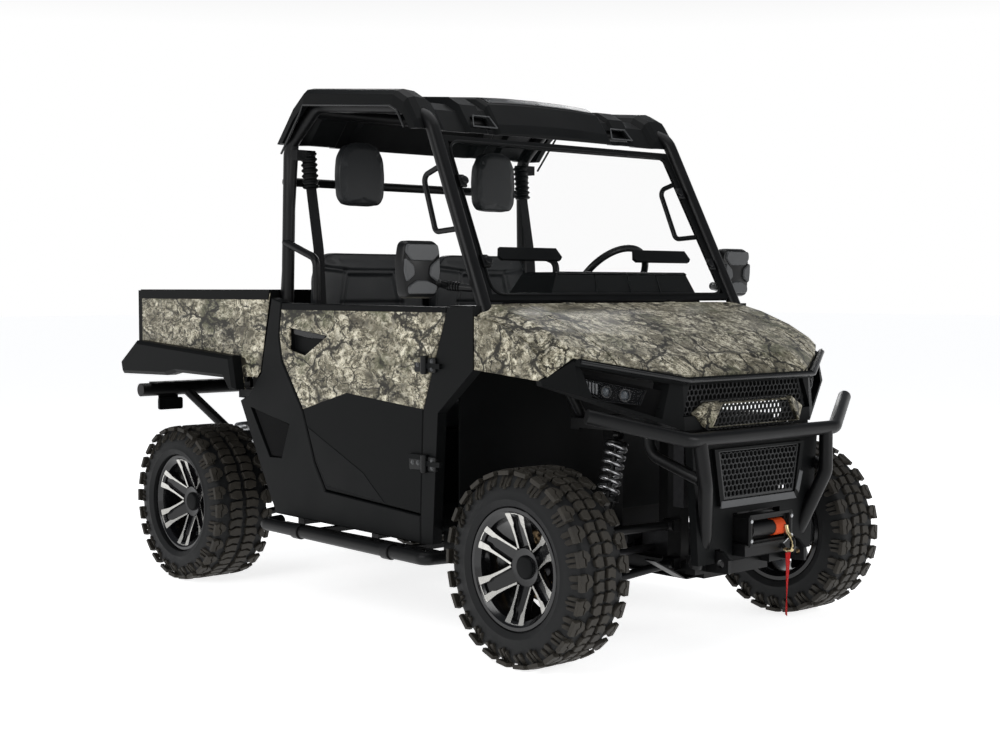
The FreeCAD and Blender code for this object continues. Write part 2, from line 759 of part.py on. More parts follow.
def winch():
    body = box((-104, 104), (-425, -336), (386, 476))
    window = box((-88, 88), (-440, -395), (396, 466))
    drum = rod((-86, -408, 431), (86, -408, 431), 26)
    plate = box((-120, 120), (-425, -330), (winch_low_z + seat_gap, 388))
    hook_stem = rod((winch_hook_x, -440, 430), (winch_hook_x, -400, 430), 8)
    hook_y = front_reach + hook_radius
    hook = bent_tube([(winch_hook_x, -440, 436), (winch_hook_x, -446, 408), (winch_hook_x, hook_y, 388),
                      (winch_hook_x, hook_y, 366), (winch_hook_x, hook_y + 12, hook_low_z),
                      (winch_hook_x, -440, hook_low_z), (winch_hook_x, -426, 368)], hook_radius, 8)
    return [fused([body.cut(window), drum, plate, hook_stem, hook])]


def winch_strap():
    # The flat pull strap hangs straight from the hook.
    return box((winch_hook_x - strap_width / 2, winch_hook_x + strap_width / 2),
               (-452, -449), (strap_low_z, hook_low_z - hook_radius - seat_gap))


# Cab structure

def cab_floor():
    wall = floor_wall
    inner_x = side_x - panel_wall - seat_gap
    pieces = [
        box((-inner_x, inner_x), (firewall_y, bulkhead_y), (floor_z - wall, floor_z)),
        box((-638, 638), (firewall_y, firewall_y + wall), (floor_z - wall, dash_low_z + 60)),
        box((-638, 638), (seat_front_y, seat_front_y + wall), (floor_z - wall, seat_top_z)),
        box((-638, 638), (seat_front_y, bulkhead_y), (seat_top_z - wall, seat_top_z)),
        box((-638, 638), (bulkhead_y - wall, bulkhead_y), (floor_z - wall, 1150)),
    ]
    return fused(pieces).cut(cage_tubes(cage_radius + seat_gap))


def skid_plate():
    # A belly pan under the rails with a bright plate that rises ahead of the front arms.
    z = rail_bottom - seat_gap
    pan = box((-200, 200), (300, 1900), (z - 5, z))
    nose = box((-200, 200), (-240, 301), (z - 5, z))
    wings = [along_y([(s * 199, z - 5), (s * 352, z + 72), (s * 349, z + 77), (s * 199, z)], -232, -186)
             for s in (-1, 1)]
    return fused([pan, nose] + wings)


def side_panel():
    # Sill and rear quarter of the body's left side, with the doorway's edge.
    outline = [
        (door_rear[0][0] + shut_gap, door_rear[0][1] + 4), (1470, 1204), (1548, 905), (1640, 812),
        (1702, 786), (1548, 516), (1451, 352), (546, 340), (546, door_low_front[1] - shut_gap),
    ]
    edge = [(y + shut_gap, z - shut_gap) for y, z in reversed(door_rear[1:])]
    shape = bevelled(along_x(outline + edge, side_x - panel_wall, side_x), side_x, 4)
    recess = along_x([(1625, 765), (1350, 712), (1405, 575), (1490, 572)], side_x - 26, side_x + 1)
    shape = shape.cut(recess)
    return shape.cut(cage_tubes(cage_radius + seat_gap))


def arch_panel():
    # The black side of the cowl, the wheel arch's edge and the post ahead of the door.
    outline = [
        (cowl_front_y, belt_z), (door_front[0][0] - shut_gap, door_front[0][1]),
        (door_front[1][0] - shut_gap, door_front[1][1]), (door_front[2][0] - shut_gap, door_front[2][1]),
        (540, 443), (540, 340), (478, 345), (462, 600), (448, 809), (cowl_front_y, 963),
    ]
    shape = along_x(outline, side_x - panel_wall, side_x)
    shape = shape.cut(cage_tubes(cage_radius + seat_gap))
    return fused([shape] + [hinge_half(z, -1) for z in hinge_zs])


def hinge_half(z, way):
    # One leaf and barrel: way -1 lies on the post, way 1 lies above it on the door.
    low = z if way < 0 else z + hinge_leaf + 2
    zs = (low, low + hinge_leaf)
    out = side_x + shut_gap
    foot = box((side_x - 2, out + 6), sorted((door_hinge_y + way * 40, door_hinge_y + way * 84)), zs)
    leaf = box((out, out + 6), sorted((door_hinge_y + way * 5, door_hinge_y + way * 42)), zs)
    x, y = door_hinge_x, door_hinge_y
    barrel = rod((x, y, zs[0]), (x, y, zs[1]), 9)
    if way < 0:
        pin = rod((x, y, zs[0]), (x, y, zs[1] + hinge_leaf + 2), door_pin_radius)
        return fused([foot, leaf, barrel, pin])
    bore = rod((x, y, zs[0] - 1), (x, y, zs[1] + 1), door_pin_radius + running_gap)
    return fused([foot, leaf, barrel]).cut(bore)


def door():
    outline = (door_front + [door_low_front] + list(reversed(door_rear)))
    shape = bevelled(along_x(outline, side_x - panel_wall, side_x), side_x, 3)
    handle = along_x([(1345, 1088), (1095, 1062), (1245, 982), (1346, 1002)], side_x - 24, side_x + 1)
    return fused([shape.cut(handle)] + [hinge_half(z, 1) for z in hinge_zs])


def hood_line(x):
    # The crest of the nose in the plane at x, from the brow back to the cowl.
    lines = {
        0: [(-330, 958), (-252, 1016), (-100, 1084), (100, 1149), (cowl_y, 1188)],
        520: [(-218, 996), (-170, 1036), (-50, 1094), (110, 1152), (cowl_y, 1188)],
        643: [(-138, 1028), (-104, 1056), (-12, 1104), (120, 1152), (cowl_y, 1186)],
        706: [(-82, 966), (-60, 1010), (10, 1068), (130, 1124), (cowl_y, 1150)],
    }
    return lines[x]


def bonnet():
    sections = [(x, thick_line(hood_line(abs(x)), shell_wall)) for x in (-520, 520)]
    middle = [(x, thick_line(hood_line(0), shell_wall)) for x in (-kink_x, kink_x)]
    skin = loft_across([sections[0], middle[0], middle[1], sections[1]])
    y, z = bonnet_hinge_y, bonnet_hinge_z
    x1 = bonnet_ear_x - 2
    x0 = x1 - 60
    barrel = rod((x0, y, z), (x1, y, z), 6)
    web = box((x0, x1), (cowl_y - 4, y), (z - 5, z))
    bore = rod((x0 - 1, y, z), (x1 + 1, y, z), bonnet_pin_radius + running_gap)
    return fused([skin] + both(barrel) + both(web)).cut(both(bore))


def fender_panel():
    top = loft_across([(seam_x + shut_gap, thick_line(hood_line(520), shell_wall)),
                       (corner_x, thick_line(hood_line(643), shell_wall)),
                       (706, thick_line(hood_line(706), shell_wall))])
    crest = [(y, z - 4) for y, z in hood_line(706)]
    wall = along_x(crest + [(cowl_front_y - shut_gap, 966), (-56, 942)], 704, side_x)
    return fused([top, wall]).cut([fascia_body(3)] + cage_tubes(cage_radius + seat_gap))


def fascia_body(grow):
    # The nose below the brow, from side to side, grown at its top and back for a shut line.
    centre = [(-345, 775), (-334, 932 + grow), (-322, 942 + grow), (-262 + grow, 938 + grow),
              (-270 + grow, 775)]
    wing = [(-170, 896), (-144, 1004 + grow), (-132, 1010 + grow), (-88 + grow, 1006 + grow),
            (-100 + grow, 896)]
    tip = [(-72, 926), (-64, 944 + grow), (-58, 946 + grow), (-44 + grow, 944 + grow), (-48 + grow, 926)]
    return loft_across([(-side_x + 4, tip), (-corner_x, wing), (-kink_x, centre),
                        (kink_x, centre), (corner_x, wing), (side_x - 4, tip)])


def brow():
    # The bar along the nose's top edge, from one lamp wing to the other.
    centre = [(-330, 928), (-352, 926), (-362, 938), (-354, 952), (-342, 948), (-330, 936)]
    wing = [(-142, 992), (-164, 990), (-174, 1002), (-166, 1016), (-154, 1012), (-142, 1000)]
    return loft_across([(-corner_x, wing), (-kink_x, centre), (kink_x, centre), (corner_x, wing)])


def front_fascia():
    # Brow, lamp wings and the frame of the upper grille.
    shape = fascia_body(0)
    opening = along_y([(-300, 930), (300, 930), (338, 822), (-338, 822)], -400, -200)
    scoop = along_y([(-225, 869), (225, 869), (290, 830), (238, 776), (238, 700), (-238, 700),
                     (-238, 776), (-290, 830)], -400, -200)
    lamps = []
    for side in (-1, 1):
        points = [(side * 372, 930), (side * 628, 990), (side * 606, 890), (side * 400, 816)]
        lamps.append(along_y(points, -420, -120))
    return fused([shape.cut([opening, scoop] + lamps + both(lamp_body(seat_gap))), brow()])


def lamp_body(grow):
    # One lamp unit, grown all round by grow for its clearance.
    def outline(y, z):
        ys, zs = (y - 20 - grow, y + 20 + grow), (z - 29 - grow, z + 29 + grow)
        return [(ys[0], zs[0]), (ys[0], zs[1]), (ys[1], zs[1]), (ys[1], zs[0])]
    return loft_across([(392 - grow, outline(-276, 875)), (600 + grow, outline(-142, 931))])


def headlamps():
    return both(lamp_body(0))


def honeycomb(outline, y0, y1):
    # A plate in the XZ plane with six-sided holes wherever a whole one fits inside its border.
    face = face_of([V(x, y0, z) for x, z in outline])
    border = face.Wires[0]
    apothem = mesh_cell / 2
    corner = apothem / math.cos(math.pi / 6)
    pitch = mesh_cell + mesh_bar
    box_of = face.BoundBox
    holes = []
    rows = int(box_of.ZLength / (pitch * math.cos(math.pi / 6))) + 2
    columns = int(box_of.XLength / pitch) + 2
    for j in range(rows):
        for i in range(columns):
            x = (i - columns // 2 + (j % 2) / 2) * pitch
            z = box_of.ZMin + j * pitch * math.cos(math.pi / 6)
            centre = V(x, y0, z)
            inside = face.isInside(centre, 0.01, True)
            if inside and Part.Vertex(centre).distToShape(border)[0] > corner + mesh_bar:
                ring = [V(x + corner * math.sin(k * math.pi / 3), y0, z + corner * math.cos(k * math.pi / 3))
                        for k in range(6)]
                holes.append(Part.makePolygon(ring + [ring[0]]))
    plate = face.extrude(V(0, y1 - y0, 0))
    return plate.cut([Part.Face(w).extrude(V(0, y1 - y0, 0)) for w in holes])


def grille_mesh():
    upper = honeycomb([(-300, 930), (300, 930), (338, 822), (250, 822), (225, 869), (-225, 869),
                       (-250, 822), (-338, 822)], mesh_y, mesh_y + 6)
    scoop = honeycomb([(-185, 862), (185, 862), (236, 778), (-236, 778)], mesh_y, mesh_y + 6)
    lower = honeycomb([(-218, 702), (218, 702), (188, 538), (-188, 538)], -384, -378)
    return [upper, scoop, lower]


def scoop_frame():
    outer = along_y([(-222, 866), (222, 866), (286, 830), (236, 779), (-236, 779), (-286, 830)], -380,
                     mesh_y - seat_gap)
    inner = along_y([(-186, 858), (186, 858), (232, 770), (-232, 770)], -400, -300)
    return outer.cut(inner)


def front_shield():
    # The plate behind the bumper, with the lower grille and winch openings.
    outline = [(-336, 742), (336, 742), (318, 560), (300, 330), (-300, 330), (-318, 560)]
    plate = along_y(outline, -376, -346)
    grille = along_y([(-214, 698), (214, 698), (184, 542), (-184, 542)], -420, -300)
    trim = along_y([(-240, 712), (240, 712), (206, 520), (-206, 520)], -392, -370)
    trim = trim.cut(along_y([(-219, 703), (219, 703), (189, 537), (-189, 537)], -400, -360))
    opening = box((-126, 126), (-400, -300), (winch_low_z, 490))
    tubes = bent_tube([(337, -412, 748), (322, -424, 600), (262, -372, 430), (248, -318, 318)],
                      bumper_radius + 0.5, 70)
    eyes = [box(sorted((s * 190, s * 216)), (-430, -300), (300, 376)) for s in (-1, 1)]
    top = bent_tube([(-684, -240, 836), (-384, -414, 752), (384, -414, 752), (684, -240, 836)],
                    bumper_radius + 0.5, 60)
    lower = bent_tube([(352, -198, 772), (356, -216, 690), (322, -400, 618)],
                      bumper_radius * 0.8 + 0.5, 60)
    cuts = [grille, opening, top] + both(tubes) + both(lower) + eyes
    return fused([plate, trim]).cut(cuts)


def dashboard():
    front = firewall_y + floor_wall + seat_gap
    outline = [(304, 1150), (304, 1172), (330, 1180), (540, 1180), (592, 1150), (560, 1080), (560, dash_low_z),
               (front, dash_low_z), (front, 1120)]
    swing = math.hypot(door_hinge_x - side_x + panel_wall, door_hinge_y - door_front[0][0])
    half = door_hinge_x - swing - 2 * shut_gap
    shape = along_x(outline, -half, half)
    hood = flat_loft([(1176, [(-311, 322), (521, 322), (536, 560), (-326, 560)]),
                      (1290, [(-247, 351), (461, 351), (474, 520), (-260, 520)]),
                      (1300, [(-230, 366), (444, 366), (456, 506), (-242, 506)])])
    base, head = steering_points()
    column = rod(base, head, 24)
    return fused([shape, hood, column] + both(bonnet_ear()))


def bonnet_ear():
    # A hinge ear on the cowl with the pin that carries the bonnet.
    y, z = bonnet_hinge_y, bonnet_hinge_z
    arm = along_x([(y, z + 5), (306, 1176), (306, 1160), (y, z - 5)], bonnet_ear_x, bonnet_ear_x + 6)
    eye = rod((bonnet_ear_x, y, z), (bonnet_ear_x + 6, y, z), 5)
    pin = rod((bonnet_ear_x - 60, y, z), (bonnet_ear_x + 3, y, z), bonnet_pin_radius)
    return fused([arm, eye, pin])


def steering_points():
    axis = V(0, math.cos(math.radians(column_angle)), math.sin(math.radians(column_angle)))
    centre = V(wheel_centre_x, wheel_centre_y, wheel_centre_z)
    return tuple(centre - axis * 240), tuple(centre - axis * 36)


def steering_wheel():
    axis = V(0, math.cos(math.radians(column_angle)), math.sin(math.radians(column_angle)))
    centre = V(wheel_centre_x, wheel_centre_y, wheel_centre_z)
    ring = Part.makeTorus(steering_wheel_radius, 14, centre, axis)
    hub = Part.makeCylinder(40, 40, centre - axis * 35, axis)
    spokes = []
    across = V(1, 0, 0)
    up = axis.cross(across)
    for d in (across, across * -1, up):
        spokes.append(Part.makeCylinder(9, steering_wheel_radius, centre, d))
    return fused([ring, hub] + spokes)


def leaned(shape):
    # Turn a screen piece from upright at the cowl to its real lean.
    shape.rotate(V(0, screen_foot_y, screen_foot_z), V(1, 0, 0), -screen_lean)
    return shape


def screen_outline(inset):
    b, t = screen_half_low - inset, screen_half_high - inset
    z0, z1 = screen_foot_z + inset, screen_foot_z + screen_length - inset
    return [(-b, z0), (b, z0), (t, z1), (-t, z1)]


def vent_cover(x0, x1):
    # A flap over one of the screen's two vents, seated on the glass.
    y = screen_foot_y - 2.5 - seat_gap
    low = screen_foot_z + 158
    outline = [(x0 + 12, low), (x1 - 12, low), (x1, low + 12), (x1 - 16, low + 48), (x0 + 16, low + 48),
               (x0, low + 12)]
    return along_y(outline, y - 12, y)


def vent_covers():
    return [vent_cover(-524, -217), vent_cover(163, 483)]


def windshield_frame():
    y = screen_foot_y
    outer = along_y(screen_outline(0), y - 8, y + 8)
    inner = along_y(screen_outline(screen_bar), y - 20, y + 20)
    rebate = along_y(screen_outline(screen_bar - 8), y - 3, y + 3)
    return [leaned(piece) for piece in [outer.cut([inner, rebate])] + vent_covers()]


def windshield_glass():
    y = screen_foot_y
    return leaned(along_y(screen_outline(screen_bar - 8 + seat_gap), y - 2.5, y + 2.5))


def roof_section():
    # Half of the roof's cross-section as (x, height over the path): top from the middle out, then under.
    top = [(0, 8), (150, 6), (286, 0), (298, -8), (310, -26), (340, -26), (352, -10), (432, -10), (446, -38),
           (548, -38), (566, -16), (592, -2), (640, 2), (672, -5), (690, -22), (694, -66)]
    under = [(668, -66), (664, -38), (644, -24), (596, -28), (574, -44), (560, -62), (436, -62), (420, -36),
             (364, -36), (348, -52), (300, -52), (286, -26), (150, -18), (0, -16)]
    return top, under


def roof():
    # The section swept along the side view's path, with an outlet either side of the middle.
    path = [(600, 1812), (618, 1846), (672, 1924), (734, 1956), (1285, 2008), (1356, 1956), (1486, 1808)]
    top, under = roof_section()
    far_half = [(-x, h) for x, h in reversed(top[1:])]
    loop = far_half + top + under + [(-x, h) for x, h in reversed(under[:-1])]
    wires = []
    for y, z in path:
        points = [V(x, y, z + h) for x, h in loop]
        wires.append(Part.makePolygon(points + [points[0]]))
    shell = Part.makeLoft(wires, True, True)
    outlets = [along_y([(s * 302, 1822), (s * 424, 1822), (s * 408, 1868), (s * 318, 1868)], 560, 668)
               for s in (-1, 1)]
    below = box((-700, 700), (500, 1600), (1700, 1806))
    return shell.cut(outlets + [below]).cut(cage_tubes(cage_radius + seat_gap))


def mirrors():
    x0, x1 = 742, 918
    outline = [(x0, 1240), (x0 + 20, 1202), (x1 - 12, 1204), (x1, 1320), (x1 - 14, 1408), (x0 + 14, 1408),
               (x0, 1370)]
    head = along_y(outline, mirror_y - 24, mirror_y + 24)
    edges = [e for e in head.Edges if all(abs(v.Y - mirror_y + 24) < 1e-6 for v in e.Vertexes)]
    head = head.makeChamfer(14, edges)
    glass = along_y([(x0 + 12, 1246), (x0 + 26, 1214), (x1 - 22, 1216), (x1 - 12, 1320), (x1 - 24, 1396),
                     (x0 + 24, 1396), (x0 + 12, 1364)], mirror_y + 20, mirror_y + 25)
    arm = bent_tube([(x0 + 20, mirror_y, 1262), (x0 - 40, mirror_y, 1248), (cage_foot_x - 8, 312, 1240)], 11, 24)
    arm = arm.cut(cage_tubes(cage_radius + seat_gap))
    return both(fused([head.cut(glass), arm]))


# Seats and belts


def cushion():
    low = seat_top_z + seat_gap
    return along_x([(905, low), (1330, low), (1330, cushion_top_z), (1310, cushion_top_z), (940, 812),
                    (905, 780)], 20, 590)


def seat_back():
    rear = bulkhead_y - floor_wall - seat_gap
    low = cushion_top_z + seat_gap
    points = [(1318, low), (rear, low), (rear, 1390), (1362, 1392), (1340, 1100)]
    pad = along_x(points, 24, 586)
    return pad.cut(cage_tubes(cage_radius + seat_gap))


def headrest():
    x = headrest_x
    pad = along_y([(x - 92, 1570), (x + 92, 1570), (x + 115, 1600), (x + 112, 1740), (x + 84, 1827),
                   (x - 84, 1827), (x - 112, 1740), (x - 115, 1600)], headrest_back_y - 68, headrest_back_y)
    post = box((x - 20, x + 20), (headrest_back_y - 2, pillar_y - cage_radius * 0.7 - seat_gap), (1640, 1684))
    return fused([pad, post])


def seat_belts():
    x = belt_x
    boot = rod((x, 1425, 1778), (x, 1408, 1638), 26)
    web = along_x([(1408, 1650), (1411, 1650), (1360, 1392), (1348, 1230), (1346, 1230), (1357, 1393)],
                  x - 24, x + 24)
    tail = along_x([(1346, 1231), (1348, 1231), (1312, 830), (1310, 830)], x - 24, x + 24)
    mount = box((x - 20, 640), (1404, 1440), (1744, 1784)).cut(cage_tubes(cage_radius + seat_gap))
    return fused([boot, web, tail, mount])


# Cargo bed

def cargo_bed():
    w, t = bed_half_width, bed_wall
    y0, y1 = bed_front_y, bed_rear_y
    top = bed_rail_z
    side = along_x([(y0, top), (1560, 908), (1584, bed_floor_z), (y1, bed_floor_z), (y1, top)], w - t, w)
    floor = box((-w + 1, w - 1), (1584, y1), (bed_floor_z, bed_floor_z + bed_floor_wall))
    front = box((-w + t - 1, w - t + 1), (bed_wall_y, bed_wall_y + t), (908, top))
    foot = along_x([(bed_wall_y, 910), (1584, bed_floor_z), (1620, bed_floor_z), (1600, 910)], -w + 1, w - 1)
    guard = bevelled(along_x([(1702, 968), (1672, 832), (1719, 828), (1763, 878), (2131, 885), (2214, 869),
                              (2587, 863), (2603, 920), (2467, 1012)], w - 1, 772), 772, 14)
    lip = along_x([(y0, top), (y1, top), (y1, top - 40), (y0 + 12, top - 40)], w - t - 8, w + 6)
    rib = box((bed_rail_x - 18, bed_rail_x + 18), (1600, 2300), (bed_rail_top + shut_gap, bed_floor_z + 1))
    lug = along_x([(bed_hinge_y - 60, bed_floor_z + 1), (bed_hinge_y + 40, bed_floor_z + 1),
                   (bed_hinge_y + 24, bed_hinge_z - 20), (bed_hinge_y - 24, bed_hinge_z - 20)],
                  bed_rail_x + 4, bed_rail_x + 18)
    lug = lug.cut(rod((0, bed_hinge_y, bed_hinge_z), (400, bed_hinge_y, bed_hinge_z),
                      hinge_pin_radius + running_gap))
    halves = [fused([side, guard, lip, rib, lug, tail_ear()])]
    halves.append(mirrored(halves[0]))
    return fused([floor, front, foot] + halves)


def tail_ear():
    # The ear and pin at the bed's rear edge on which the tailgate turns.
    x, y, z = tail_barrel_x + tail_barrel_length + 2, tail_hinge_y, tail_hinge_z
    arm = box((x, x + 10), (bed_rear_y - 20, y), (bed_floor_z, z + tail_barrel_radius - 1))
    eye = rod((x, y, z), (x + 10, y, z), tail_barrel_radius)
    pin = rod((tail_barrel_x, y, z), (x + 5, y, z), tail_pin_radius)
    return fused([arm, eye, pin])


def tailgate():
    w = bed_half_width - 6
    y = bed_rear_y + shut_gap
    low = bed_floor_z + 12
    panel = box((-w, w), (y, y + tailgate_thickness), (low, bed_rail_z - 4))
    relief = box((-w + 60, w - 60), (y + 12, y + tailgate_thickness + 1), (low + 60, bed_rail_z - 70))
    x0, x1 = tail_barrel_x, tail_barrel_x + tail_barrel_length
    barrel = rod((x0, tail_hinge_y, tail_hinge_z), (x1, tail_hinge_y, tail_hinge_z), tail_barrel_radius)
    web = box((x0, x1), (tail_hinge_y, tail_hinge_y + tail_barrel_radius), (tail_hinge_z, low + 2))
    bore = rod((x0 - 1, tail_hinge_y, tail_hinge_z), (x1 + 1, tail_hinge_y, tail_hinge_z),
               tail_pin_radius + running_gap)
    return fused([panel.cut(relief)] + both(barrel) + both(web)).cut(both(bore))


def main():
    nodes = wheels()
    nodes["front_arms"] = front_arms()
    nodes["rear_arms"] = rear_arms()
    nodes["knuckle_left"] = knuckle()
    nodes["knuckle_right"] = mirrored(knuckle())
    nodes["tie_rods"] = tie_rods()
    nodes["steering_rack"] = rack_housing()
    nodes["shocks"] = shocks()
    nodes["drive_shafts"] = drive_shafts()
    nodes["engine"] = engine()
    nodes["radiator"] = radiator()
    nodes["frame"] = frame()
    nodes["cross_members"] = cross_members()
    nodes["axle_towers"] = axle_towers()
    nodes["roll_cage"] = roll_cage()
    nodes["front_bumper"] = front_bumper()
    nodes["side_steps"] = side_steps()
    nodes["rear_bumper"] = rear_bumper()
    nodes["tail_lamps"] = tail_lamps()
    nodes["exhaust"] = exhaust()
    nodes["winch"] = winch()
    nodes["winch_strap"] = winch_strap()
    nodes["cab_floor"] = cab_floor()
    nodes["skid_plate"] = skid_plate()
    nodes["side_panels"] = both(side_panel())
    nodes["arch_panels"] = both(arch_panel())
    nodes["door_left"] = door()
    nodes["door_right"] = mirrored(door())
    nodes["bonnet"] = bonnet()
    nodes["fender_panels"] = both(fender_panel())
    nodes["front_fascia"] = front_fascia()
    nodes["headlamps"] = headlamps()
    nodes["grille_mesh"] = grille_mesh()
    nodes["scoop_frame"] = scoop_frame()
    nodes["front_shield"] = front_shield()
    nodes["dashboard"] = dashboard()
    nodes["steering_wheel"] = steering_wheel()
    nodes["windshield_frame"] = windshield_frame()
    nodes["windshield_glass"] = windshield_glass()
    nodes["roof"] = roof()
    nodes["mirrors"] = mirrors()
    nodes["seat_cushions"] = both(cushion())
    nodes["seat_backs"] = both(seat_back())
    nodes["headrests"] = both(headrest())
    nodes["seat_belts"] = both(seat_belts())
    nodes["cargo_bed"] = cargo_bed()
    nodes["tailgate"] = tailgate()
    for name, shape in nodes.items():
        write(name, shape)


def write(name, shape):
    solid = Part.makeCompound(shape) if isinstance(shape, list) else shape.copy()
    solid.translate(V(0, -length_centre, 0))
    solid.exportStep("parts/" + name + ".step")


os.makedirs("parts", exist_ok=True)
main()
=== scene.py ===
import bpy
import bmesh
import json
import math
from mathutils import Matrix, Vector

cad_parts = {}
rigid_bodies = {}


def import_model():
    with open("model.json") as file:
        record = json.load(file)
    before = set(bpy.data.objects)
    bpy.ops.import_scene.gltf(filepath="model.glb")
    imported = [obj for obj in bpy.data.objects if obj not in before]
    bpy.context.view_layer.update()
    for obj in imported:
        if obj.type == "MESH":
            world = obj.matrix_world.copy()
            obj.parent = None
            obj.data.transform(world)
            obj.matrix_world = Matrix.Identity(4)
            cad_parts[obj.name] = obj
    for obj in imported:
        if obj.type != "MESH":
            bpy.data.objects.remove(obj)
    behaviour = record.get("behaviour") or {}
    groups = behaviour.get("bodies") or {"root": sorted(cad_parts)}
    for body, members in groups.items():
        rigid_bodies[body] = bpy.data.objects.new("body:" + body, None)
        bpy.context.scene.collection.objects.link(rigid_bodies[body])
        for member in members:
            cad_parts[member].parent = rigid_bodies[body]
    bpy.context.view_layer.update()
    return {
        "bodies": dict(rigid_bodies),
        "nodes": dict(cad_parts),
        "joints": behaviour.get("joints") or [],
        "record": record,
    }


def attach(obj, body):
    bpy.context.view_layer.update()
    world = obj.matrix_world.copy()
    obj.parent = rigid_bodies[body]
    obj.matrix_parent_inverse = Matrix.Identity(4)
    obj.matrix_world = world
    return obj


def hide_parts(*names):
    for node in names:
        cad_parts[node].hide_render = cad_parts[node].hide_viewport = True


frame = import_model()
nodes = frame["nodes"]
frontAxleY = -1.103
wheelbase = 2127
tyreRadius = 328


def rowY(mm):
    # The frame's place in metres of a place along the vehicle, which is measured from the front axle.
    return mm / 1000 + frontAxleY


# Camera and studio

view = {"place": (-4.204, -4.835, 1.242), "downwards": 3.17, "turn": -42.07, "lens": 56.56, "sensor": 36}


def makeCamera():
    data = bpy.data.cameras.new("camera")
    data.lens = view["lens"]
    data.sensor_width = view["sensor"]
    cam = bpy.data.objects.new("camera", data)
    bpy.context.collection.objects.link(cam)
    cam.location = view["place"]
    cam.rotation_euler = (math.radians(90 - view["downwards"]), 0, math.radians(view["turn"]))
    bpy.context.scene.camera = cam


# Place, target, size in metres and power in watts of each lamp.
lights = {
    "top": ((0.4, 0.2, 5.2), (0, 0, 0.5), (5, 6), 110),
    "key": ((-5.2, -1.0, 3.4), (0, 0.2, 0.9), (3.0, 2.2), 95),
    "front": ((1.8, -6.2, 2.8), (0, -0.9, 0.8), (2.6, 2.2), 90),
    "rim": ((4.5, 4.5, 3.6), (0, 0, 0.9), (3.0, 2.0), 90),
}


def areaLight(name, place, target, size, power):
    data = bpy.data.lights.new(name, "AREA")
    data.shape = "RECTANGLE"
    data.size, data.size_y = size
    data.energy = power
    light = bpy.data.objects.new(name, data)
    bpy.context.collection.objects.link(light)
    light.location = place
    light.rotation_euler = (Vector(target) - Vector(place)).to_track_quat("-Z", "Y").to_euler()


studio = {"skyStart": (0.16, (1, 1, 1, 1)), "skyEnd": (0.42, (0.13, 0.14, 0.155, 1)), "skyStrength": 1.0,
          "floorHalf": 60, "floorColour": (0.86, 0.86, 0.86, 1), "floorGlow": 0.80}


def makeWorld():
    # White near the horizon and dimmer overhead, so that black bodywork keeps its depth.
    world = bpy.data.worlds.new("studio")
    bpy.context.scene.world = world
    world.use_nodes = True
    tree = world.node_tree
    coord = tree.nodes.new("ShaderNodeTexCoord")
    split = tree.nodes.new("ShaderNodeSeparateXYZ")
    ramp = tree.nodes.new("ShaderNodeValToRGB")
    tree.links.new(coord.outputs["Generated"], split.inputs["Vector"])
    tree.links.new(split.outputs["Z"], ramp.inputs["Fac"])
    tree.links.new(ramp.outputs["Color"], tree.nodes["Background"].inputs["Color"])
    for stop, key in zip(ramp.color_ramp.elements, ("skyStart", "skyEnd")):
        stop.position, stop.color = studio[key]
    tree.nodes["Background"].inputs["Strength"].default_value = studio["skyStrength"]


def makeFloor():
    mesh = bpy.data.meshes.new("floor")
    s = studio["floorHalf"]
    mesh.from_pydata([(-s, -s, 0), (s, -s, 0), (s, s, 0), (-s, s, 0)], [], [(0, 1, 2, 3)])
    floor = bpy.data.objects.new("floor", mesh)
    bpy.context.collection.objects.link(floor)
    mat = bpy.data.materials.new("floor")
    mat.use_nodes = True
    shader = mat.node_tree.nodes["Principled BSDF"]
    shader.inputs["Base Color"].default_value = studio["floorColour"]
    shader.inputs["Roughness"].default_value = 0.9
    shader.inputs["Specular IOR Level"].default_value = 0.0
    shader.inputs["Emission Color"].default_value = (1, 1, 1, 1)
    shader.inputs["Emission Strength"].default_value = studio["floorGlow"]
    mesh.materials.append(mat)


makeCamera()
makeWorld()
makeFloor()
for lightName, values in lights.items():
    areaLight(lightName, *values)
bpy.context.scene.view_settings.view_transform = "Standard"
print("camera and studio")


# Materials

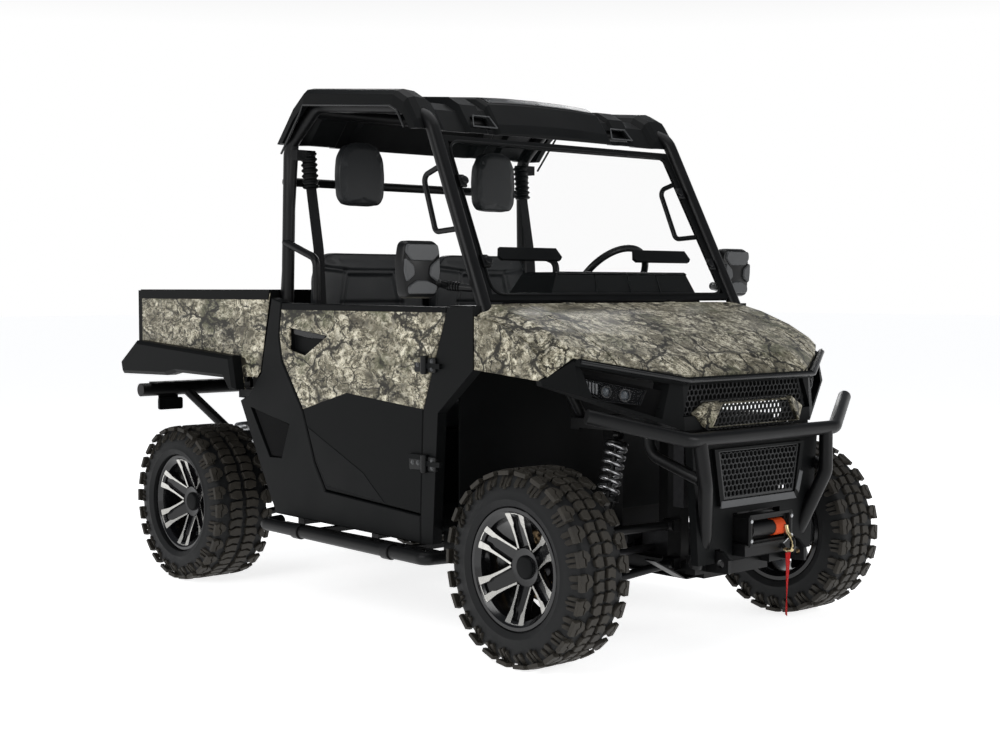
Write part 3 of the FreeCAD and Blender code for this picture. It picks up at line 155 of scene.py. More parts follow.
class Nodes:
    # Short ways to add and join shader nodes in one material.
    def __init__(self, name, edge=0.0):
        self.mat = bpy.data.materials.new(name)
        self.mat.use_nodes = True
        self.tree = self.mat.node_tree
        self.shader = self.tree.nodes["Principled BSDF"]
        self.edge = edge

    def add(self, kind, **inputs):
        node = self.tree.nodes.new("ShaderNode" + kind)
        for key, value in inputs.items():
            node.inputs[key.replace("_", " ")].default_value = value
        return node

    def join(self, a, b):
        self.tree.links.new(a, b)

    def place(self):
        return self.add("TexCoord").outputs["Object"]

    def noise(self, vector, scale, detail, rough=0.5):
        node = self.add("TexNoise", Scale=scale, Detail=detail, Roughness=rough)
        self.join(vector, node.inputs["Vector"])
        return node.outputs["Fac"]

    def math(self, kind, a, b=None):
        node = self.add("Math")
        node.operation = kind
        for value, socket in ((a, node.inputs[0]), (b, node.inputs[1])):
            if isinstance(value, (int, float)):
                socket.default_value = value
            elif value is not None:
                self.join(value, socket)
        return node.outputs[0]

    def ramp(self, value, stops):
        node = self.add("ValToRGB")
        ramp = node.color_ramp
        while len(ramp.elements) < len(stops):
            ramp.elements.new(0.5)
        for element, (at, colour) in zip(ramp.elements, stops):
            element.position = at
            element.color = tuple(colour) + (1,)
        self.join(value, node.inputs["Fac"])
        return node.outputs["Color"]

    def bump(self, height, strength, distance):
        # Grain over edges that the material rounds by its own radius in metres.
        node = self.add("Bump", Strength=strength, Distance=distance)
        self.join(height, node.inputs["Height"])
        if self.edge:
            soft = self.add("Bevel", Radius=self.edge)
            soft.samples = 4
            self.join(soft.outputs["Normal"], node.inputs["Normal"])
        return node.outputs["Normal"]

    def mix(self, factor, a, b):
        node = self.tree.nodes.new("ShaderNodeMix")
        node.data_type = "RGBA"
        self.join(factor, node.inputs["Factor"])
        for value, socket in ((a, node.inputs["A"]), (b, node.inputs["B"])):
            if isinstance(value, tuple):
                socket.default_value = value + (1,)
            else:
                self.join(value, socket)
        return node.outputs["Result"]

    def set(self, **values):
        for key, value in values.items():
            self.shader.inputs[key.replace("_", " ")].default_value = value


def grey(v):
    return (v, v, v)


def greys(*stops):
    # The stops of a ramp between greys, each a place and a value.
    return [(at, grey(value)) for at, value in stops]


def plastic(name, colour, rough=0.5, grain=1500.0, depth=0.00012, spec=0.25, edge=0.0018):
    n = Nodes(name, edge)
    place = n.place()
    cloud = n.noise(place, 6.0, 4.0)
    dark = tuple(c * 0.82 for c in colour)
    light = tuple(min(1, c * 1.2) for c in colour)
    n.join(n.ramp(cloud, [(0.3, dark), (0.7, light)]), n.shader.inputs["Base Color"])
    fine = n.noise(place, grain, 2.0)
    n.join(n.bump(fine, 0.35, depth), n.shader.inputs["Normal"])
    n.join(n.ramp(cloud, greys((0.3, max(0.05, rough - 0.06)), (0.7, rough + 0.06))),
           n.shader.inputs["Roughness"])
    n.set(Specular_IOR_Level=spec)
    return n.mat


def metal(name, colour, rough=0.35, brush=60.0, metallic=1.0, depth=0.0001):
    n = Nodes(name, 0.0008)
    place = n.place()
    streak = n.noise(place, brush, 4.0, 0.6)
    dark = tuple(c * 0.8 for c in colour)
    n.join(n.ramp(streak, [(0.3, dark), (0.7, colour)]), n.shader.inputs["Base Color"])
    n.join(n.ramp(streak, greys((0.3, rough + 0.08), (0.7, max(0.05, rough - 0.06)))),
           n.shader.inputs["Roughness"])
    n.join(n.bump(streak, 0.2, depth), n.shader.inputs["Normal"])
    n.set(Metallic=metallic)
    return n.mat


def coated(name, colour, rough=0.38):
    # Powder-coated steel with a light orange peel.
    n = Nodes(name, 0.0015)
    place = n.place()
    peel = n.noise(place, 380.0, 2.0)
    cloud = n.noise(place, 5.0, 3.0)
    dark = tuple(c * 0.85 for c in colour)
    n.join(n.ramp(cloud, [(0.3, dark), (0.7, colour)]), n.shader.inputs["Base Color"])
    n.join(n.bump(peel, 0.25, 0.0002), n.shader.inputs["Normal"])
    n.join(n.ramp(cloud, greys((0.3, rough - 0.05), (0.7, rough + 0.06))), n.shader.inputs["Roughness"])
    n.set(Specular_IOR_Level=0.2)
    return n.mat


def rubber(name, colour):
    # Rubber mottled in random clouds. The tyres use a lighter, browner one on the tread blocks and a darker
    # one on the carcass, which shows in the grooves.
    n = Nodes(name)
    place = n.place()
    cloud = n.noise(place, 14.0, 6.0, 0.65)
    fine = n.noise(place, 1100.0, 3.0)
    dark = tuple(c * 0.55 for c in colour)
    n.join(n.ramp(cloud, [(0.35, dark), (0.68, colour)]), n.shader.inputs["Base Color"])
    n.join(n.bump(fine, 0.5, 0.0003), n.shader.inputs["Normal"])
    n.join(n.ramp(cloud, greys((0.3, 0.50), (0.7, 0.70))), n.shader.inputs["Roughness"])
    n.set(Specular_IOR_Level=0.22)
    return n.mat


bark = {
    "warp": (8.0, 5.0, 0.65), "warpReach": 0.11, "grain": (52.0, 10.0, 0.82),
    "gate": (4.0, 0.6), "gateFade": 0.07,
    "tones": [(0.40, (0.022, 0.019, 0.013)), (0.46, (0.120, 0.106, 0.072)),
              (0.51, (0.390, 0.358, 0.262)), (0.58, (0.730, 0.690, 0.560))],
    # Scale, detail and roughness of the noise, where the patch fades, and its colour.
    "patches": {
        "shade": (9.0, 6.0, 0.68, [(0.40, 0.75), (0.52, 0.0)], (0.085, 0.076, 0.050)),
        "olive": (6.5, 5.0, 0.6, [(0.54, 0.0), (0.64, 0.7)], (0.075, 0.080, 0.042)),
        "umber": (13.0, 7.0, 0.7, [(0.58, 0.0), (0.66, 0.85)], (0.030, 0.025, 0.017)),
    },
    # Scale, width, the share of the surface that stays whole, and colour.
    "cracks": [(7.5, 0.050, 0.44, (0.010, 0.009, 0.007)), (17.0, 0.052, 0.46, (0.016, 0.014, 0.010)),
               (46.0, 0.070, 0.50, (0.030, 0.026, 0.018))],
}


def cracks(n, place, bent, scale, width, share):
    cells = n.add("TexVoronoi", Scale=scale)
    cells.feature = "DISTANCE_TO_EDGE"
    n.join(bent, cells.inputs["Vector"])
    line = n.ramp(cells.outputs["Distance"], greys((0.0, 1.0), (width * 0.4, 0.9), (width, 0.0)))
    gate = n.noise(place, scale * 0.5, *bark["gate"])
    return n.math("MULTIPLY", line, n.ramp(gate, greys((share, 0.0), (share + bark["gateFade"], 1.0))))


def crackedBark(n, place, along):
    # Pale weathered patches under dark forking cracks, with olive and brown areas, stretched lengthways.
    stretch = n.add("Mapping")
    n.join(place, stretch.inputs["Vector"])
    stretch.inputs["Scale"].default_value = (1.0, along, 1.0)
    place = stretch.outputs["Vector"]
    scale, detail, rough = bark["warp"]
    drift = n.add("TexNoise", Scale=scale, Detail=detail, Roughness=rough)
    n.join(place, drift.inputs["Vector"])
    bend = n.add("VectorMath")
    bend.operation = "MULTIPLY_ADD"
    n.join(drift.outputs["Color"], bend.inputs[0])
    bend.inputs[1].default_value = grey(bark["warpReach"])
    n.join(place, bend.inputs[2])
    bent = bend.outputs[0]
    body = n.ramp(n.noise(bent, *bark["grain"]), bark["tones"])
    for name, (scale, detail, rough, fade, colour) in bark["patches"].items():
        cloud = n.noise(place if name == "olive" else bent, scale, detail, rough)
        body = n.mix(n.ramp(cloud, greys(*fade)), body, colour)
    for scale, width, share, colour in bark["cracks"]:
        body = n.mix(cracks(n, place, bent, scale, width, share), body, colour)
    return body


# The bare plastic's colour, then roughness and gloss of the bare and of the printed areas.
skinFinish = {"black": (0.0036, 0.0040, 0.0042), "rough": (0.50, 0.36), "gloss": (0.07, 0.22)}


def camouflage(name, keep=None, along=0.62):
    # keep gives a 0 to 1 mask of where the pattern shows; the rest is black plastic.
    n = Nodes(name, 0.0018)
    place = n.place()
    body = crackedBark(n, place, along)
    mask = keep(n, place) if keep else None
    pairs = (("Roughness", skinFinish["rough"]), ("Specular IOR Level", skinFinish["gloss"]))
    for socket, (bare, printed) in pairs:
        if keep:
            n.join(n.ramp(mask, greys((0.0, bare), (1.0, printed))), n.shader.inputs[socket])
        else:
            n.shader.inputs[socket].default_value = printed
    if keep:
        body = n.mix(mask, skinFinish["black"], body)
    n.join(body, n.shader.inputs["Base Color"])
    n.join(n.bump(n.noise(place, 1500.0, 2.0), 0.2, 0.00008), n.shader.inputs["Normal"])
    return n.mat


# Where the pattern ends on each panel: heights and half widths in metres, places along in millimetres.
finishEdges = {
    "doorLow": [(520, 0.812), (536, 0.818), (977, 0.853), (1275, 0.772), (1420, 0.760)], "doorTop": 1.157,
    "doorSkin": 0.7155,
    "bedTop": [(1480, 1.222), (2100, 1.212), (2500, 1.200), (2540, 1.198)], "bedSkin": (0.7145, 0.7175),
    "tailgateSkin": 2511, "tailgateHalf": 0.652,
}


def above(n, place, edge):
    # 1 above a line of (along, height) points.
    points = [(rowY(mm), height) for mm, height in edge]
    split = n.add("SeparateXYZ")
    n.join(place, split.inputs["Vector"])
    curve = n.add("FloatCurve")
    low, high = points[0][0], points[-1][0]
    line = curve.mapping.curves[0]
    along = n.math("DIVIDE", n.math("SUBTRACT", split.outputs["Y"], low), high - low)
    n.join(along, curve.inputs["Value"])
    while len(line.points) < len(points):
        line.points.new(0.5, 0.5)
    for point, (a, b) in zip(line.points, points):
        point.location = ((a - low) / (high - low), b / 2)
        point.handle_type = "VECTOR"
    curve.mapping.update()
    height = n.math("MULTIPLY", curve.outputs["Value"], 2.0)
    return n.math("GREATER_THAN", split.outputs["Z"], height), split


def onDoor(n, place):
    low, split = above(n, place, finishEdges["doorLow"])
    strip = n.math("LESS_THAN", split.outputs["Z"], finishEdges["doorTop"])
    outer = n.math("GREATER_THAN", n.math("ABSOLUTE", split.outputs["X"]), finishEdges["doorSkin"])
    return n.math("MULTIPLY", n.math("MULTIPLY", low, strip), outer)


def onBed(n, place):
    top, split = above(n, place, finishEdges["bedTop"])
    inner, outer = finishEdges["bedSkin"]
    under = n.math("SUBTRACT", 1.0, top)
    wide = n.math("ABSOLUTE", split.outputs["X"])
    skin = n.math("MULTIPLY", n.math("GREATER_THAN", wide, inner), n.math("LESS_THAN", wide, outer))
    return n.math("MULTIPLY", under, skin)


def onTailgate(n, place):
    split = n.add("SeparateXYZ")
    n.join(place, split.inputs["Vector"])
    outer = n.math("GREATER_THAN", split.outputs["Y"], rowY(finishEdges["tailgateSkin"]))
    inside = n.math("LESS_THAN", n.math("ABSOLUTE", split.outputs["X"]), finishEdges["tailgateHalf"])
    return n.math("MULTIPLY", outer, inside)


def glassy(name, colour, alpha, rough=0.03):
    n = Nodes(name)
    dust = n.noise(n.place(), 4.0, 4.0)
    n.join(n.ramp(dust, greys((0.3, rough), (0.8, rough + 0.05))), n.shader.inputs["Roughness"])
    n.set(Base_Color=colour + (1,), Alpha=alpha, IOR=1.45)
    return n.mat


def vinyl(name, colour, rough=0.45):
    n = Nodes(name)
    place = n.place()
    cells = n.add("TexVoronoi", Scale=420.0)
    n.join(place, cells.inputs["Vector"])
    cloud = n.noise(place, 8.0, 4.0)
    dark = tuple(c * 0.75 for c in colour)
    n.join(n.ramp(cloud, [(0.3, dark), (0.7, colour)]), n.shader.inputs["Base Color"])
    n.join(n.bump(cells.outputs["Distance"], 0.35, 0.0006), n.shader.inputs["Normal"])
    n.join(n.ramp(cloud, greys((0.3, rough - 0.05), (0.7, rough + 0.08))),
           n.shader.inputs["Roughness"])
    n.set(Specular_IOR_Level=0.35)
    return n.mat


def webbing(name, colour):
    n = Nodes(name)
    place = n.place()
    weave = n.add("TexWave", Scale=260.0, Distortion=0.4)
    weave.bands_direction = "Z"
    n.join(place, weave.inputs["Vector"])
    dark = tuple(c * 0.45 for c in colour)
    n.join(n.ramp(weave.outputs["Fac"], [(0.2, dark), (0.8, colour)]), n.shader.inputs["Base Color"])
    n.join(n.bump(weave.outputs["Fac"], 0.6, 0.0006), n.shader.inputs["Normal"])
    n.set(Roughness=0.8, Specular_IOR_Level=0.2)
    return n.mat


mats = {
    "black": plastic("blackPlastic", (0.0034, 0.0038, 0.0040), 0.46, spec=0.085),
    "blackSmooth": plastic("smoothPlastic", (0.0040, 0.0042, 0.0044), 0.32, 900.0, 0.00006, 0.22),
    "mesh": plastic("meshPlastic", (0.016, 0.0165, 0.017), 0.42, 900.0, 0.00004, 0.35, 0.0006),
    # shadowPlastic is painted shade: a near-black, barely glossy sheet put where there is only shade
    "shadeSheet": plastic("shadowPlastic", (0.0025, 0.0025, 0.0027), 0.7, 900.0, 0.00004, 0.08),
    "clearBar": plastic("clearBar", (0.16, 0.165, 0.17), 0.25, 900.0, 0.00004, 0.5),
    "springSteel": metal("springSteel", (0.42, 0.42, 0.43), 0.30, 60.0),
    "satin": plastic("satinBar", (0.0075, 0.0078, 0.0082), 0.27, 900.0, 0.00004, 0.4),
    "greyPad": plastic("greyPad", (0.050, 0.052, 0.054), 0.40, 900.0, 0.00008, 0.4),
    "coat": coated("powderCoat", (0.0042, 0.0043, 0.0046)),
    "tread": rubber("treadRubber", (0.036, 0.032, 0.026)),
    "sidewall": rubber("sidewallRubber", (0.0085, 0.0090, 0.0095)),
    "camo": camouflage("camouflage", along=0.85),
    "camoDoor": camouflage("doorFinish", onDoor),
    "camoBed": camouflage("bedFinish", onBed),
    "camoTail": camouflage("tailgateFinish", onTailgate),
    "rimBlack": plastic("rimGloss", (0.004, 0.004, 0.0045), 0.14, 300.0, 0.00002, 0.5, 0.0008),
    "machined": metal("machinedAlloy", (0.60, 0.59, 0.56), 0.26, 90.0),
    "steel": metal("plainSteel", (0.50, 0.51, 0.52), 0.32, 40.0),
    "bronze": metal("discSteel", (0.30, 0.21, 0.12), 0.34, 80.0),
    "gold": metal("zincPlate", (0.62, 0.50, 0.28), 0.3, 120.0),
    "castIron": metal("castIron", (0.045, 0.045, 0.048), 0.5, 60.0, 0.8, 0.0004),
    "glass": glassy("screenGlass", (0.03, 0.04, 0.04), 0.02),
    "lens": glassy("lampLens", (0.02, 0.022, 0.025), 0.07, 0.10),
    "projector": glassy("lampProjector", (0.06, 0.07, 0.08), 0.9, 0.12),
    "redLens": glassy("tailLens", (0.45, 0.01, 0.008), 0.85, 0.12),
    "mirror": metal("mirrorGlass", (0.80, 0.82, 0.84), 0.06, 4.0, 1.0, 0.0),
    "piping": plastic("pipingVinyl", (0.010, 0.011, 0.012), 0.40),
    "vinyl": vinyl("seatVinyl", (0.012, 0.0135, 0.0150)),
    "belt": webbing("beltWebbing", (0.016, 0.016, 0.017)),
    "strap": webbing("redStrap", (0.50, 0.004, 0.004)),
    "orange": plastic("orangeDrum", (0.62, 0.075, 0.015), 0.4, 300.0),
}

nodeMaterial = {
    "tyre": "sidewall", "rim": "rimBlack", "front_arms": "coat", "rear_arms": "coat",
    "knuckle": "castIron", "tie_rods": "steel", "steering_rack": "castIron", "shocks": "steel",
    "drive_shafts": "castIron", "engine": "castIron", "radiator": "castIron", "frame": "coat",
    "roll_cage": "coat", "front_bumper": "coat", "side_steps": "coat", "axle_towers": "coat",
    "cross_members": "coat", "rear_bumper": "coat", "winch": "coat", "winch_strap": "strap",
    "cab_floor": "black", "skid_plate": "coat", "side_panels": "black", "arch_panels": "black",
    "door": "camoDoor", "bonnet": "camo", "fender_panels": "camo", "front_fascia": "black",
    "headlamps": "lens", "grille_mesh": "black", "scoop_frame": "camo", "front_shield": "black",
    "dashboard": "black", "steering_wheel": "blackSmooth", "windshield_frame": "black",
    "windshield_glass": "glass", "roof": "black", "mirrors": "black", "seat_cushions": "vinyl",
    "seat_backs": "vinyl", "headrests": "vinyl", "seat_belts": "belt", "cargo_bed": "camoBed",
    "tailgate": "camoTail", "tail_lamps": "redLens", "exhaust": "steel",
}


for nodeName in nodes:
    key = nodeName
    while key not in nodeMaterial:
        key = key.rsplit("_", 1)[0]  # the material of door_left is under door
    mesh = nodes[nodeName].data
    mesh.materials.clear()
    mesh.materials.append(mats[nodeMaterial[key]])
print("materials")


# Mesh building

class Shape:
    # Gathers points in millimetres, measured as the part's source does, and turns them into one piece.
    def __init__(self):
        self.points = []
        self.faces = []
        self.slots = []

    def add(self, points, faces, slot=0):
        first = len(self.points)
        self.points += [tuple(p) for p in points]
        self.faces += [tuple(first + i for i in face) for face in faces]
        self.slots += [slot] * len(faces)

    def loft(self, rings, slot=0, caps=True):
        count = len(rings[0])
        faces = []
        for j in range(len(rings) - 1):
            for i in range(count):
                k = (i + 1) % count
                faces.append((j * count + i, j * count + k, (j + 1) * count + k, (j + 1) * count + i))
        if caps:
            faces.append(tuple(reversed(range(count))))
            faces.append(tuple((len(rings) - 1) * count + i for i in range(count)))
        self.add([p for ring in rings for p in ring], faces, slot)

    def tube(self, path, radius, sides=12, slot=0, caps=True):
        points = [Vector(p) for p in path]
        radii = radius if isinstance(radius, (list, tuple)) else [radius] * len(points)
        side = None
        rings = []
        for i, p in enumerate(points):
            ahead = (points[min(i + 1, len(points) - 1)] - points[max(i - 1, 0)]).normalized()
            side = ahead.orthogonal() if side is None else side - ahead * side.dot(ahead)
            side.normalize()
            up = ahead.cross(side)
            ring = []
            for k in range(sides):
                a = 2 * math.pi * k / sides
                ring.append(p + (side * math.cos(a) + up * math.sin(a)) * radii[i])
            rings.append(ring)
        self.loft(rings, slot, caps)

    def turned(self, profile, centre, axis=(1, 0, 0), count=48, slot=0):
        # A closed profile of (along, radius) turned about the axis through centre.
        axis = Vector(axis).normalized()
        side = axis.orthogonal().normalized()
        up = axis.cross(side)
        rings = []
        for i in range(count + 1):
            a = 2 * math.pi * (i % count) / count
            out = side * math.cos(a) + up * math.sin(a)
            rings.append([Vector(centre) + axis * x + out * r for x, r in profile])
        self.loft(rings, slot, False)

    def plate(self, outline, start, end, inset=0.0, slot=0, topSlot=None):
        # A flat piece between two functions that place its (u, v) outline, its far face inset by a chamfer.
        rings = [[start(u, v) for u, v in outline]]
        if inset:
            rings.append([Vector(end(u, v)) + (Vector(start(u, v)) - Vector(end(u, v))).normalized() * inset
                          for u, v in outline])
        rings.append([end(u, v) for u, v in drawnIn(outline, inset)])
        self.loft(rings, slot)
        if topSlot is not None:
            self.slots[-1] = topSlot

    def plateX(self, outline, start, end, inset=0.0, slot=0):
        # A (y, z) outline between two places across the vehicle.
        self.plate(outline, lambda y, z: (start, y, z), lambda y, z: (end, y, z), inset, slot)

    def plateY(self, outline, start, end, inset=0.0, slot=0):
        # An (x, z) outline between two places along the vehicle.
        self.plate(outline, lambda x, z: (x, start, z), lambda x, z: (x, end, z), inset, slot)

    def mirrored(self):
        # Adds the same shape on the vehicle's other side.
        self.add([(-x, y, z) for x, y, z in self.points], [tuple(reversed(f)) for f in self.faces])
        half = len(self.slots) // 2
        self.slots[half:] = self.slots[:half]
        return self

    def piece(self, name, materials, body, angle=32):
        # Edges sharper than angle, in degrees, stay crisp.
        mesh = bpy.data.meshes.new(name)
        mesh.from_pydata([(x / 1000, rowY(y), z / 1000) for x, y, z in self.points], [], self.faces)
        mesh.polygons.foreach_set("material_index", self.slots)
        for material in materials:
            mesh.materials.append(mats[material])
        bm = bmesh.new()
        bm.from_mesh(mesh)
        bmesh.ops.remove_doubles(bm, verts=bm.verts, dist=0.00002)
        bmesh.ops.recalc_face_normals(bm, faces=bm.faces)
        bm.to_mesh(mesh)
        bm.free()
        mesh.shade_smooth()
        mesh.set_sharp_from_angle(angle=math.radians(angle))
        obj = bpy.data.objects.new(name, mesh)
        bpy.context.collection.objects.link(obj)
        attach(obj, body)
        return obj


def between(a, b, t):
    return tuple(p + (q - p) * t for p, q in zip(a, b))


def middle(outline):
    return [sum(p[k] for p in outline) / len(outline) for k in (0, 1)]


def shrunk(outline, scale):
    mid = middle(outline)
    return [(mid[0] + (u - mid[0]) * scale, mid[1] + (v - mid[1]) * scale) for u, v in outline]


def drawnIn(outline, amount):
    # The outline with each corner moved by amount towards its middle.
    mid = middle(outline)
    out = []
    for u, v in outline:
        away = math.hypot(mid[0] - u, mid[1] - v)
        out.append((u + (mid[0] - u) * amount / away, v + (mid[1] - v) * amount / away))
    return out


def rounded(points, radius, steps=5):
    # The outline with each corner turned into a short arc.
    out = []
    for i, p in enumerate(points):
        a, b = Vector(points[i - 1]), Vector(points[(i + 1) % len(points)])
        corner = Vector(p)
        reach = min(radius, (a - corner).length * 0.45, (b - corner).length * 0.45)
        start = corner + (a - corner).normalized() * reach
        end = corner + (b - corner).normalized() * reach
        for k in range(steps + 1):
            t = k / steps
            out.append(tuple(start * (1 - t) ** 2 + corner * 2 * t * (1 - t) + end * t * t))
    return out


def grown(outline, amount):
    # The outline moved outwards by amount, inwards when it is negative.
    out = []
    for i, p in enumerate(outline):
        a, b = Vector(outline[i - 1]), Vector(outline[(i + 1) % len(outline)])
        ahead = (b - a).normalized()
        out.append((p[0] + ahead.y * amount, p[1] - ahead.x * amount))
    return out


# Tyres

tread = {
    "pairs": 13, "pitch": 158.5, "stagger": 40, "groove": 14.0, "chamfer": 2.0, "blockScale": 0.91,
    "shoulder": [
        [(6, 2), (62, 2), (66, 24), (44, 20), (34, 30), (8, 27)],
        [(66, 26.5), (60, 44), (44, 56), (26, 50), (22, 36), (9, 29.5), (34, 32.5), (44, 22.5)],
        [(86, 5), (146, 5), (150, 28), (128, 34), (116, 24), (85, 24)],
        [(150, 31), (140, 50), (118, 60), (104, 54), (98, 38), (86, 27), (116, 26.5), (128, 37)],
    ],
    "centre": [
        [(2, 4), (36, 7), (40, 26), (28, 46), (6, 43), (-3, 24)],
        [(41, 8), (74, 4), (78, 22), (71, 42), (48, 48), (33, 45), (45, 27)],
        [(80, 5), (114, 8), (118, 28), (106, 47), (84, 44), (76, 41), (83, 24)],
        [(119, 8), (151, 4), (152, 22), (149, 42), (126, 47), (111, 46), (123, 28)],
    ],
    "claws": [(8, 24, 270), (28, 44, 262), (48, 64, 268), (90, 112, 276), (118, 142, 270)],
    "clawTop": 316, "clawDepth": (-3.0, 11.0), "clawChamfer": 2.2,
    "wall": [(207, -15), (214, -11), (226, -6.5), (228, -5.4), (231, -5.4), (234, -7.5), (252, -7),
             (266, -11), (280, -14), (292, -17), (304, -22), (311, -28), (314, -40)],
    "beadGap": 10.3, "beadRadii": (178.4, 207), "crownWidth": 46, "crownDrop": 5.0,
}


def wallX(radius, half):
    rows = tread["wall"]
    for (r0, x0), (r1, x1) in zip(rows, rows[1:]):
        if radius <= r1:
            return half + x0 + (x1 - x0) * (radius - r0) / (r1 - r0)
    return half + rows[-1][1]


def crown(t, half):
    # The tread's radius at a distance t from the tyre's middle.
    edge = max(0.0, abs(t) - (half - tread["crownWidth"])) / tread["crownWidth"]
    return tyreRadius - tread["crownDrop"] * edge * edge


def onWheel(hub, a, x, radius):
    # A point at the angle a about the axle, x away from the wheel's middle.
    return (hub[0] + x, hub[1] + radius * math.sin(a), hub[2] + radius * math.cos(a))


def tyreShape(half, rimHalf, hub, side):
    shape = Shape()
    bead = rimHalf - tread["beadGap"]
    inner, outer = tread["beadRadii"]
    upper = [(half + x, r) for r, x in tread["wall"]]
    profile = [(bead, inner), (bead, outer)] + upper + [(-x, r) for x, r in reversed(upper)]
    profile += [(-bead, outer), (-bead, inner)]
    shape.turned([(side * x, r) for x, r in profile], hub, count=120)
    stretch = (half - 66) / 49
    blocks = [[(s, half - t) for s, t in outline] for outline in tread["shoulder"]]
    blocks += [[(s, t * stretch) for s, t in outline] for outline in tread["centre"]]
    blocks = [shrunk(outline, tread["blockScale"]) for outline in blocks]

    def onTread(s, t, sink):
        return onWheel(hub, (start + s) / tyreRadius, side * way * t, crown(t, half) - sink)

    def onWall(s, radius, proud):
        x = min(wallX(radius, half) + proud, half - 0.6)
        return onWheel(hub, (start + s) / tyreRadius, side * way * x, radius)

    top = tread["clawTop"]
    sunk, proud = tread["clawDepth"]
    for i in range(tread["pairs"]):
        for way in (1, -1):
            start = i * tread["pitch"] + (0 if way > 0 else tread["stagger"])
            for outline in blocks:
                shape.plate(outline, lambda s, t: onTread(s, t, tread["groove"]),
                            lambda s, t: onTread(s, t, 0), tread["chamfer"], 1)
            for s0, s1, low in tread["claws"]:
                claw = [(s0, top), (s1, top), (s1 - 1, low + 9), ((s0 + s1) / 2 + 3, low), (s0 + 2, low + 7)]
                shape.plate(claw, lambda s, r: onWall(s, r, sunk), lambda s, r: onWall(s, r, proud),
                            tread["clawChamfer"], 1)
    return shape


# Cast wheels

rimParts = {
    "prongs": 6, "hubDepth": 60, "slope": 0.4058, "dishRadius": 50, "proud": 1.2, "back": 26,
    "outer": [(60, 34.0), (100, 33.0), (136, 35.0), (149, 38.0), (176, 45.5), (187, 48.0)],
    "inner": [(60, 26.0), (100, 24.0), (136, 22.5), (149, 16.5), (172, 17.5), (187, 17.5)],
    "arc": [(179, -17.5), (180.2, 0), (179, 17.5), (187, 17.5), (188, 0), (187, -17.5)],
    "web": [(64, -25), (64, 25), (136, 23), (150, 17), (180, 18), (180, -18), (150, -17), (136, -23)],
    # The barrel goes by which end it is measured from, how far in, and its radius.
    "barrel": [(-1, 0, 203), (-1, 0, 189), (-1, 14, 172), (-1, 30, 168), (1, 30, 168), (1, 14, 172),
               (1, 2.5, 188), (1, 0.4, 190), (1, 0, 193), (1, 0, 201), (1, 2, 203), (1, 10, 203),
               (1, 10, 178), (-1, 10, 178), (-1, 10, 203)],
    # The hub's plate, cap and boss, each with its count of sides and its slot.
    "hub": [([(-24, 21), (3, 21), (3, 58), (5, 63), (-12, 66), (-24, 60)], 72, 1),
            ([(2, 0.01), (15, 0.01), (14, 20), (12, 34), (8, 39), (2, 40)], 48, 2),
            ([(-72, 21), (-72, 44), (-20, 44), (-20, 21)], 48, 3)],
}


def rimShape(half, hub, side):
    # A twin-pronged cast wheel with machined faces, its dish towards the vehicle's outside.
    shape = Shape()
    hubX = half - rimParts["hubDepth"]
    shape.turned([(side * end * (half - x), r) for end, x, r in rimParts["barrel"]], hub, count=120, slot=1)
    for profile, count, slot in rimParts["hub"]:
        shape.turned([(side * (hubX + x), r) for x, r in profile], hub, count=count, slot=slot)

    def onDish(u, v, deep):
        a = math.radians(turn)
        y, z = u * math.sin(a) + v * math.cos(a), u * math.cos(a) - v * math.sin(a)
        x = hubX + rimParts["slope"] * (math.hypot(u, v) - rimParts["dishRadius"]) - deep
        return (hub[0] + side * x, hub[1] + y, hub[2] + z)

    back, proud = rimParts["back"], rimParts["proud"]
    for i in range(rimParts["prongs"]):
        turn = i * 360 / rimParts["prongs"]
        for way in (1, -1):
            outer = [(u, way * v) for u, v in rimParts["outer"]]
            inner = [(u, way * v) for u, v in rimParts["inner"]]
            rings = []
            for a, b in zip(outer, inner):
                rings.append([onDish(*a, back), onDish(*a, proud), onDish(*between(a, b, 0.05), 0),
                              onDish(*between(a, b, 0.95), 0), onDish(*b, proud), onDish(*b, back)])
            first = len(shape.faces)
            shape.loft(rings, 1)
            for k in range(len(rings) - 1):
                shape.slots[first + k * 6 + 2] = 0  # the machined face
        shape.plate(rimParts["arc"], lambda u, v: onDish(u, v, 24), lambda u, v: onDish(u, v, 0), 0.8, 1, 0)
        shape.plate(rimParts["web"], lambda u, v: onDish(u, v, back), lambda u, v: onDish(u, v, 13), 0, 1)
    return shape


disc = {"back": 63, "radii": [58, 72, 80, 86, 94, 100, 108, 118], "cells": 72, "drilled": (2, 4),
        "thickness": 0.005}


def discShape(half, hub, side):
    # The brake disc as rings of cells, two of them with drilled gaps.
    shape = Shape()
    x = half - rimParts["hubDepth"] - disc["back"]
    radii = disc["radii"]
    for k in range(len(radii) - 1):
        for i in range(disc["cells"]):
            if k in disc["drilled"] and (i + k) % 4 == 0:
                continue
            corners = ((i, radii[k]), (i + 1, radii[k]), (i + 1, radii[k + 1]), (i, radii[k + 1]))
            shape.add([onWheel(hub, 2 * math.pi * a / disc["cells"], side * x, r) for a, r in corners],
                      [(0, 1, 2, 3)])
    return shape


# Along and across the vehicle, then the half widths of the tyre and the rim.
wheels = {"front": (0, 680, 115, 100), "rear": (wheelbase, 638, 140, 112)}


